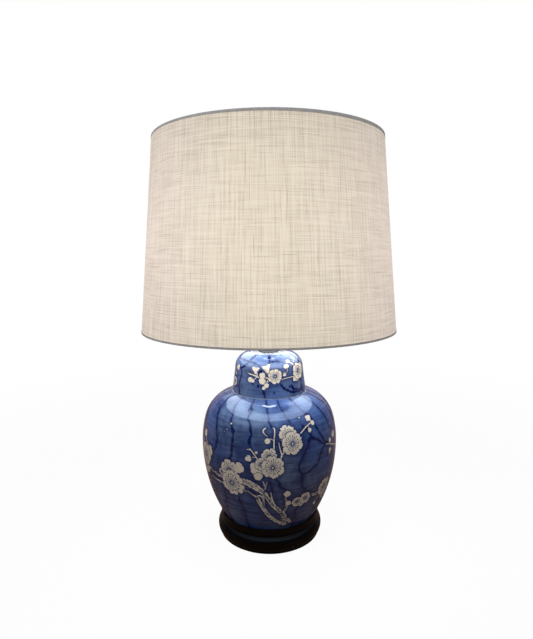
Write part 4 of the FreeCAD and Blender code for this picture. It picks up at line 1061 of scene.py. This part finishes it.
def paint_bud(coats, skin, place, draw):
    """A closed bud: rounded lobes, with a line between them where it is large."""
    _, _, size, turned, lobes, depth = place
    phase = draw.uniform(0, math.tau)
    point = 4.5 if depth > 0.4 else 1.4

    def reach(angle):
        swell = 1 - depth + depth * abs(math.cos(lobes * angle / 2)) ** point
        swell += 0.025 * math.sin(7 * angle + phase)
        return size * MM * swell * (1.0 + 0.12 * math.cos(angle))

    spot, out = round_spot(skin, place, turned, reach)
    lift = LAYERS[1]
    rings = ((0.3, 0), (0.8, 0), (0.93, 0.2), (1.0, 0.8))
    white_shape(coats, spot, out, 36, rings, lift, 0.7 / size)
    if size > 4.4:
        for k in range(lobes):
            angle = math.tau * (k + 0.5) / lobes
            path = [out(0.5 + 0.5 * t / 4, angle * (0.9 + 0.1 * t / 4)) for t in range(5)]
            coats["strokes"].ribbon(path, [coats["fine"] * 0.4] * 5, lift + STROKE_RISE)


def paint_blot(coats, skin, place, draw):
    """A round blot of ink with an uneven edge."""
    phase = draw.uniform(0, math.tau)

    def reach(angle):
        waves = 0.14 * math.sin(2 * angle + phase) + 0.06 * math.sin(5 * angle)
        return place[2] * MM * (1 + waves)

    _, out = round_spot(skin, place, 0, reach)
    coats["cracks"].rings(out, 24, ((0.01, 0), (0.5, 0), (1.0, 0)), CRACK)


def paint_bough(coats, skin, bark, places, seed, draw):
    """A bough with rough edges, and ink lines and hatching for its bark."""
    path = laid_path(skin, places, 0.7)
    line = [(turn, arc) for turn, arc, _ in path]
    rough = 0.10 + 0.12 * bark
    widths = []
    for i, (_, _, half) in enumerate(path):
        sides = []
        for side in (0, 1):
            stray = wander(seed + 11 * side, i, 0.42) + 0.7 * wander(seed + 31 * side, i, 1.1)
            sides.append(half * MM * (1 + rough * 1.3 * stray))
        widths.append(tuple(sides))
    step = 0.004 * MM * (seed % 9)
    lift = BOUGH + step
    coats["white"].ribbon(line, widths, lift, (0.5, 0, 0, 0, 0, 0, 0, 0, 0.5))
    wider = [(left + BOUGH_OUTLINE, right + BOUGH_OUTLINE) for left, right in widths]
    coats["ink"].ribbon(line, wider, BOUGH - 0.02 * MM)
    rim = [(left + BOUGH_RIM, right + BOUGH_RIM) for left, right in widths[3:-3]]
    coats["ink"].ribbon(line[3:-3], rim, lift - 0.002 * MM)
    if bark <= 0:
        return
    top = BARK + step
    strokes = []
    if bark >= 0.6:
        for side in (-0.34, 0.38):
            start = draw.randrange(2, 9)
            while start < len(path) - 6:
                run = draw.randrange(9, 30)
                share = side + draw.uniform(-0.08, 0.08)
                strokes.append((start, run, share, draw.uniform(-0.25, 0.25), 0.9))
                start += run + draw.randrange(2, 8)
    middle = max(path[len(path) // 2][2], 0.8)
    for _ in range(int(len(path) * 0.13 * bark * middle)):
        start = draw.randrange(1, max(len(path) - 12, 2))
        share = draw.choice((-0.55, -0.3, 0.05, 0.3, 0.5)) + draw.uniform(-0.12, 0.12)
        strokes.append((start, draw.randrange(4, 11), share, draw.uniform(-0.6, 0.6), 0.8))
    for start, run, share, lean, heavy in strokes:
        mark = [bark_place(skin, path, start + k, share + lean * k / run) for k in range(run)]
        thick = coats["fine"] * heavy * draw.uniform(0.75, 1.2)
        taper = [thick * (0.3 + 0.7 * math.sin(math.pi * k / (run - 1))) for k in range(run)]
        coats["ink" if heavy < 0.85 else "strokes"].ribbon(mark, taper, top)


def bark_place(skin, path, i, share):
    """A place on a bough: a share of its half width from its middle line."""
    i = min(i, len(path) - 2)
    turn, arc, half = path[i]
    radius = skin.at(arc)[0]
    run, rise = (path[i + 1][0] - turn) * radius, path[i + 1][1] - arc
    off = share * half * MM / (math.hypot(run, rise) or 1.0)
    return turn + rise * off / radius, arc - run * off


def crack_line(skin, places, seed):
    """A crack's path, wobbling as the brush does, with its half width."""
    path = laid_path(skin, [(*place, 0.0) for place in places], 0.9)
    line = []
    for i, (turn, arc, _) in enumerate(path):
        radius = skin.at(arc)[0]
        sway = 1.1 * MM * wander(seed, i, 0.09) + 0.5 * MM * wander(seed + 5, i, 0.30)
        bead = 0.5 + 1.2 * max(0.0, 0.42 + wander(seed + 9, i, 0.21)) ** 2
        line.append((turn + sway / radius, arc, bead))
    return line


def paint_crack(coats, line, width):
    ends = len(line) - 1
    widths = []
    for i, (_, _, bead) in enumerate(line):
        taper = min(1.0, 0.25 + 0.12 * min(i + 6, ends - i))
        widths.append(0.5 * width * bead * taper)
    coats["cracks"].ribbon([(turn, arc) for turn, arc, _ in line], widths, CRACK)


def bare_edge_and_lit_top(arc, length, bare_below):
    """How pale the wash is: bare near the lid's fired edge, and paled over its top as painted light
    from the lit shade above.
    """
    if not bare_below:
        return 0.0
    # Painted light: the lid's top is paled where the shade's light falls on it.
    top = min(max(arc / length - 0.42, 0.0) / 0.25, 1.0)
    return max(min(max(1.25 * (1.0 - arc / bare_below), 0.0), 0.85), 0.03 + 0.15 * top)


def ground_piece(name, skin, lines, patches, paint, bare_below):
    """The painted ground: a fine mesh on the skin that knows where the ink has pooled."""
    step = paint.mesh_step
    widest = max(skin.at(skin.length * i / 40)[0] for i in range(41))
    columns = int(math.tau * widest / step)
    rows = int(skin.length / step)
    arcs = [skin.length * j / rows for j in range(rows + 1)]
    radii = [skin.at(arc)[0] for arc in arcs]
    pool = [[0.0] * columns for _ in range(rows + 1)]

    def stain(turn, arc, reach, depth, flat=0.0):
        """Darkens the mesh within reach of a place."""
        j = arc / skin.length * rows
        tall = reach / step
        for row in range(max(int(j - tall), 0), min(int(j + tall) + 2, rows + 1)):
            radius = max(radii[row], 4 * MM)
            wide = reach / radius / math.tau * columns
            i = turn / math.tau * columns
            here = pool[row]
            for column in range(int(i - wide), int(i + wide) + 2):
                away = math.hypot(arcs[row] - arc, (column / columns * math.tau - turn) * radius)
                share = min(max((reach - away) / (reach - flat), 0.0), 1.0)
                value = depth * share * share * (3 - 2 * share)
                here[column % columns] = max(here[column % columns], value)

    for seed, line in enumerate(lines):
        for i, (turn, arc, bead) in enumerate(line):
            ahead = min(1.0, min(i + 4, len(line) - i + 3) / 4)
            spread = 2.6 + 1.6 * bead + 1.6 * wander(seed + 40, i, 0.09)
            stain(turn, arc, spread * MM, 0.92 * ahead, 0.5 * bead * MM)
            stain(turn, arc, 2.2 * spread * MM, 0.30 * ahead)
    for turn, arc, reach, depth in patches:
        stain(turn, arc, reach + paint.pool_width, depth, 0.8 * reach)
    points = [
        skin.point(math.tau * column / columns, arc, GROUND)
        for arc in arcs
        for column in range(columns)
    ]
    marks = {
        "pool": [min(value, 1.0) for row in pool for value in row],
        "bare": [bare_edge_and_lit_top(arc, skin.length, bare_below) for arc in arcs for _ in range(columns)],
    }
    faces = tube_faces(rows + 1, range(columns))
    painted_piece(f"{name}_ground", points, faces, coat_glaze("ground", paint), marks)


def paint_vessel(name, skin, design, paint, bare_below=0.0):
    """All the paint of one vessel, front and back."""
    cracks, spare, blossoms, buds, blots, clouds, boughs = design
    keys = ("white", "ink", "strokes", "cracks")
    coats = {key: Coat(skin) for key in keys}
    coats["fine"] = paint.stroke_width
    draw = random.Random(len(blossoms))
    backs = [turned_round(line) for line in cracks]
    lines = [
        crack_line(skin, line, first + seed)
        for first, group in ((0, cracks), (60, backs), (120, spare))
        for seed, line in enumerate(group)
    ]
    for line in lines:
        paint_crack(coats, line, paint.crack_width)
    patches = []
    for rows, paint_one, inside, depth in (
        (blossoms, paint_blossom, 0.0, 0.85),
        (buds, paint_bud, 0.0, 0.45),
        (blots, paint_blot, 0.6 * paint.pool_width, 0.8),
    ):
        for place in both_sides(rows):
            paint_one(coats, skin, place, draw)
            patches.append((*skin.spot(*place[:2]), place[2] * MM - inside, depth))
    for azimuth, height, size, depth in both_sides(clouds):
        patches.append((*skin.spot(azimuth, height), size * MM, depth))
    for seed, (bark, places) in enumerate(boughs):
        for turned in (places, turned_round(places)):
            paint_bough(coats, skin, bark, turned, seed, draw)
            for turn, arc, half in laid_path(skin, turned, 3.0):
                patches.append((turn, arc, half * MM, 0.75))
    for key in keys:
        coat = coats[key]
        marks = {"edge": coat.marks}
        painted_piece(f"{name}_{key}", coat.points, coat.faces, coat_glaze(key, paint), marks)
    ground_piece(name, skin, lines, patches, paint, bare_below)


# ---------------------------------------------------------------- the linen


class Cone:
    """The shade's outside, read from the packed linen: a height share and an azimuth."""

    def __init__(self):
        mesh = bpy.data.objects["linen_cover"].data
        self.low = LINEN_BOX[0][2]
        self.high = LINEN_BOX[1][2]
        ends = {self.low: 0.0, self.high: 0.0}
        for vertex in mesh.vertices:
            for end in ends:
                if abs(vertex.co.z - end) < 0.5 * MM:
                    ends[end] = max(ends[end], math.hypot(vertex.co.x, vertex.co.y))
        self.wide = ends[self.low]
        self.narrow = ends[self.high]
        self.slant = math.hypot(self.high - self.low, self.wide - self.narrow)

    def radius(self, share):
        return self.wide + (self.narrow - self.wide) * share

    def point(self, turn, share, lift):
        return placed(turn, self.radius(share) + lift, self.low + (self.high - self.low) * share)


def linen_wrap(dress, cone, material):
    """One cut of linen round the shade, its end lapped over its start at the back."""
    thick = 0.6 * MM
    rise = 0.32 * MM
    lap = dress.lap / cone.wide
    columns, rows = 384, 20
    points = []
    for i in range(columns + 1):
        turn = -math.pi + (math.tau + lap) * i / columns
        over = min(max((turn - math.pi + 0.01) / 0.02, 0.0), 1.0)
        for lift in (-thick + over * (thick + 0.02 * MM), over * rise):
            points += [cone.point(turn, j / rows, lift) for j in range(rows + 1)]
    side = rows + 1
    faces = tube_faces(columns + 1, [*range(side), *range(2 * side - 1, side - 1, -1)])
    last = columns * 2 * side
    for j in range(rows):
        edge = (j, j + 1, side + j + 1, side + j)
        faces += [edge[::-1], [last + k for k in edge]]
    wrap = shade_piece("linen_wrap", points, faces, material, 40)
    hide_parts("linen_cover")
    return wrap


def linen_slubs(dress, cone, material):
    """Thick threads that stand a little proud, some round the shade and some up it."""
    draw = random.Random(17)
    points = []
    faces = []
    for _ in range(dress.slubs):
        level = draw.random() < 0.5
        long = draw.triangular(5, 44, 11) * MM
        half = draw.uniform(0.16, 0.34) * MM
        turn = draw.uniform(-math.pi + 0.01, math.pi - 0.01)
        share = draw.uniform(0.02, 0.98)
        radius = cone.radius(share)
        steps = max(int(long / (4 * MM)), 3)
        first = len(points)
        for i in range(steps + 1):
            t = i / steps
            body = math.sin(math.pi * min(max(t, 0.02), 0.98)) ** 0.6
            drift = 0.4 * MM * wander(first, i, 0.3)
            for side, lift in ((-1, 0.02), (0, 0.14), (1, 0.02)):
                across = side * half * body + drift
                along = (t - 0.5) * long
                u, v = (along, across) if level else (across, along)
                up = min(max(share + v / cone.slant, 0.012), 0.988)
                points.append(cone.point(turn + u / radius, up, lift * MM * max(body, 0.3)))
        for i in range(steps):
            for k in (0, 1):
                a = first + 3 * i + k
                quad = (a, a + 1, a + 4, a + 3)
                faces.append(quad[::-1] if level else quad)
    shade_piece("linen_slubs", points, faces, material)


def trim_tape(name, dress, cone, top, material, widths, gaps=()):
    """Ribbed tape folded over a rim, its outer edge cut a little unevenly."""
    columns = 360
    thick = dress.tape_thickness
    inset = RIM_BUILD_UP + thick
    bevel = 0.25 * MM
    side = -1 if top else 1
    share = 1.0 if top else 0.0
    rim = (cone.high if top else cone.low) - side * thick
    lean = (cone.wide - cone.narrow) / (cone.high - cone.low)
    points = []
    for i in range(columns):
        turn = math.tau * i / columns - math.pi
        edge = widths(turn) + 0.12 * MM * wander(3 + side, i, 0.21)
        slit = any(abs(math.remainder(turn - gap, math.tau)) < ARM_SLIT for gap in gaps)
        fold = ARM_FOLD if slit else TAPE_FOLD
        outline = (
            (thick, edge), (thick, bevel), (thick - 0.2 * MM, 0.0), (-inset + 0.2 * MM, 0.0),
            (-inset, bevel), (-inset, fold), (thick - inset, fold), (thick - inset, thick),
            (0.01 * MM, thick), (0.01 * MM, edge),
        )
        for out, down in outline:
            radius = cone.radius(share) + out - side * lean * (down - thick)
            points.append(placed(turn, radius, rim + side * down))
    loop = range(len(outline))
    faces = tube_faces(columns, loop[::-1] if top else loop, closed=True)
    return shade_piece(name, points, faces, material, 50)


# ---------------------------------------------------------------- operators


class LAMP_OT_finish_nodes(bpy.types.Operator):
    """Give every packed node the finish of its slot"""

    bl_idname = "lamp.finish_nodes"
    bl_label = "Finish the parts"

    def execute(self, context):
        stock = finishes(context.scene)
        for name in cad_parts:
            piece = bpy.data.objects[name]
            for place in piece.material_slots:
                place.material = stock[place.name]
        # The vase cap gets a much darker nickel than the other metal parts.
        dark_cap_finish = metal_finish("dark_nickel", (0.10, 0.10, 0.10), 0.38)
        bpy.data.objects["vase_cap"].material_slots[0].material = dark_cap_finish
        return {"FINISHED"}


class LAMP_OT_paint_jar(bpy.types.Operator):
    """Paint the jar: cobalt wash, cracked ice and prunus"""

    bl_idname = "lamp.paint_jar"
    bl_label = "Paint the jar"

    def execute(self, context):
        skin = Skin("jar_body", JAR_BOX[0][2] + 2 * MM, FOOT_RADIUS)
        spare = spare_cracks(38, 228, ((84, 100, 3), (262, 280, 4)))
        design = (JAR_CRACKS, spare, JAR_BLOSSOMS, JAR_BUDS, JAR_BLOTS, JAR_CLOUDS, JAR_BOUGHS)
        paint_vessel("jar", skin, design, context.scene.jar_paint)
        return {"FINISHED"}


class LAMP_OT_paint_lid(bpy.types.Operator):
    """Paint the lid to match, with a bare fired edge"""

    bl_idname = "lamp.paint_lid"
    bl_label = "Paint the lid"

    def execute(self, context):
        skin = Skin("jar_lid", LID_BOX[0][2] - MM, CAP_BOX[1][0], over_top=True)
        spare = spare_cracks(231, 288.6, ((84, 100, 5), (262, 280, 6)))
        design = (LID_CRACKS, spare, LID_BLOSSOMS, LID_BUDS, LID_BLOTS, LID_CLOUDS, LID_BOUGHS)
        paint_vessel("lid", skin, design, context.scene.jar_paint, bare_below=7.0 * MM)
        return {"FINISHED"}


class LAMP_OT_dress_shade(bpy.types.Operator):
    """Wrap the shade in linen with raised slubs and a lap at the back"""

    bl_idname = "lamp.dress_shade"
    bl_label = "Dress the shade"

    def execute(self, context):
        dress = context.scene.lamp_shade
        cone = Cone()
        wrap = linen_wrap(dress, cone, bpy.data.materials["linen_weave"])
        linen_slubs(dress, cone, linen_finish(dress, "linen_slub", dress.slub, 0.78))
        ribbed = bpy.data.materials["ribbed_tape"]

        def top_width(turn):
            return dress.top_tape * (1 + 0.24 * math.sin(turn))

        top = trim_tape("top_trim", dress, cone, True, ribbed, top_width, ARM_TURNS)
        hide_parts("top_tape")
        low = trim_tape("bottom_trim", dress, cone, False, ribbed, lambda turn: dress.bottom_tape)
        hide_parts("bottom_tape")
        return {"FINISHED"}


class LAMP_OT_set_stage(bpy.types.Operator):
    """Set the pale floor, the soft light and the camera"""

    bl_idname = "lamp.set_stage"
    bl_label = "Set the stage"

    def execute(self, context):
        studio = context.scene.lamp_studio
        self.lay_floor(studio)
        self.light_room(context.scene, studio)
        self.light_shade(context.scene, studio)
        self.stand_camera(context.scene, studio)
        return {"FINISHED"}

    def lay_floor(self, studio):
        """A wide floor that is pale where it is seen and darker where the glaze mirrors it."""
        reach = 12.0
        finish = Finish("pale_floor", {"Roughness": 0.9, "Specular IOR Level": 0.0})
        seen = finish.add("ShaderNodeLightPath").outputs["Is Camera Ray"]
        grain = finish.clouds(30, 3, 0.3, 0.7)
        pale = finish.mix(grain, rgba(studio.floor, 0.985), rgba(studio.floor))
        x, y, _ = finish.split()
        behind = finish.span(y, 0.05, 0.40)
        mirrored = finish.mix(behind, rgba(studio.table), rgba(studio.far_table))
        finish.paint(Base_Color=finish.mix(seen, mirrored, pale))
        away = finish.sum("SQRT", finish.times(x, x, finish.times(y, y)))
        fade = finish.span(away, 0.3, 1.6, studio.floor_glow, 1.0)
        glow = finish.add("ShaderNodeEmission", {"Color": (1, 1, 1, 1), "Strength": 1.0})
        both = finish.either(finish.times(fade, seen), finish.shader.outputs[0], glow.outputs[0])
        output = finish.tree.nodes["Material Output"]
        finish.tree.links.new(both, output.inputs["Surface"])
        corners = [(-reach, -reach, 0), (reach, -reach, 0), (reach, reach, 0), (-reach, reach, 0)]
        floor = new_object("studio_floor", corners, [(0, 1, 2, 3)], finish.material)
        floor.location.z = -0.2 * MM

    def area_light(self, scene, name, place, size, watts):
        """A soft light that leaves no mark in the glaze."""
        lamp = bpy.data.lights.new(name, "AREA")
        lamp.size = size
        lamp.energy = watts
        held = bpy.data.objects.new(name, lamp)
        held.location = place
        held.visible_glossy = False
        scene.collection.objects.link(held)
        return held

    def light_room(self, scene, studio):
        """White behind the lamp, tones for the glaze to mirror, even light and two soft boxes."""
        world = bpy.data.worlds.new("studio")
        world.use_nodes = True
        world.node_tree.nodes.clear()
        nodes = Nodes(world.node_tree)

        def backdrop(tone, strength=1.0):
            return nodes.add("ShaderNodeBackground", {0: tone, 1: strength}).outputs[0]

        def even_span(value, low, high):
            return nodes.add("ShaderNodeMapRange", {0: value, 1: low, 2: high}).outputs[0]

        heading = nodes.add("ShaderNodeTexCoord").outputs["Generated"]
        _, behind, up = nodes.add("ShaderNodeSeparateXYZ", {0: heading}).outputs
        walls = nodes.mix(even_span(behind, 0.45, 0.92), rgba(studio.room), rgba(studio.wall))
        tone = nodes.mix(even_span(up, 0.35, 0.75), walls, rgba(studio.ceiling))
        path = nodes.add("ShaderNodeLightPath").outputs
        even = backdrop((1, 0.99, 0.97, 1), studio.room_light)
        lit = nodes.either(path["Is Glossy Ray"], even, backdrop(tone))
        shown = nodes.either(path["Is Camera Ray"], lit, backdrop((1, 1, 1, 1)))
        nodes.add("ShaderNodeOutputWorld", {0: shown})
        scene.world = world
        for name, place, watts in (
            ("left_softbox", (-1.5, -1.3, 1.5), 19),
            ("right_softbox", (1.7, -0.9, 1.2), 10),
        ):
            box = self.area_light(scene, name, place, 1.4, watts)
            aim = Vector((0, 0, 0.3)) - Vector(place)
            box.rotation_euler = aim.to_track_quat("-Z", "Y").to_euler()

    def light_shade(self, scene, studio):
        """The shade's bright inside as the glaze mirrors it, and its soft light downwards."""
        count = 96
        points = [
            placed(math.tau * i / count, radius, height)
            for radius, height in SCREEN_ENDS
            for i in range(count)
        ]
        finish = Finish("mirrored_liner", {"Base Color": BLACK, "Specular IOR Level": 0.0})
        bright = finish.fading(BULB_HEIGHT, 20.0, 0.95)
        finish.glow(studio.glare, bright, (0.87, 0.92, 1.0, 1))
        faces = tube_faces(2, range(count))
        screen = new_object("glare_screen", points, faces, finish.material)
        for ray in ("camera", "diffuse", "shadow", "transmission"):
            setattr(screen, f"visible_{ray}", False)
        place = (0, 0, SHADE_MOUTH)
        lamp = self.area_light(scene, "down_light", place, 0.34, studio.down_light).data
        lamp.shape = "DISK"
        lamp.color = (1.0, 0.96, 0.90)

    def stand_camera(self, scene, studio):
        lens = bpy.data.cameras.new("studio_camera")
        lens.lens = studio.lens
        lens.sensor_width = 36
        camera = bpy.data.objects.new("studio_camera", lens)
        tilt = Matrix.Rotation(math.pi / 2 - studio.pitch, 4, "X")
        lean = Matrix.Rotation(studio.roll, 4, "Z")
        camera.matrix_world = Matrix.Translation(studio.camera_place) @ tilt @ lean
        scene.collection.objects.link(camera)
        scene.camera = camera
        scene.view_settings.view_transform = "Standard"


STEPS = (
    LAMP_OT_finish_nodes,
    LAMP_OT_paint_jar,
    LAMP_OT_paint_lid,
    LAMP_OT_dress_shade,
    LAMP_OT_set_stage,
)
SETTINGS = {
    "jar_paint": JarPaint,
    "lamp_shade": ShadeDress,
    "lamp_stand": StandDress,
    "lamp_studio": LampStudio,
}


class LAMP_PT_dress(bpy.types.Panel):
    """Sizes and colours of the lamp, and the steps that make it"""

    bl_label = "Ginger jar lamp"
    bl_idname = "LAMP_PT_dress"
    bl_space_type = "VIEW_3D"
    bl_region_type = "UI"
    bl_category = "Lamp"

    def draw(self, context):
        for key, group in SETTINGS.items():
            box = self.layout.box()
            box.label(text=group.__doc__)
            for name in group.__annotations__:
                box.prop(getattr(context.scene, key), name)
        for step in STEPS:
            self.layout.operator(step.bl_idname)


def register():
    for kind in (*SETTINGS.values(), *STEPS, LAMP_PT_dress):
        bpy.utils.register_class(kind)
    for key, group in SETTINGS.items():
        setattr(bpy.types.Scene, key, bpy.props.PointerProperty(type=group))


def unregister():
    for key in SETTINGS:
        delattr(bpy.types.Scene, key)
    for kind in reversed((*SETTINGS.values(), *STEPS, LAMP_PT_dress)):
        bpy.utils.unregister_class(kind)


def main():
    register()
    for step in STEPS:
        group, name = step.bl_idname.split(".")
        getattr(getattr(bpy.ops, group), name)()


if __name__ == "__main__":
    main()
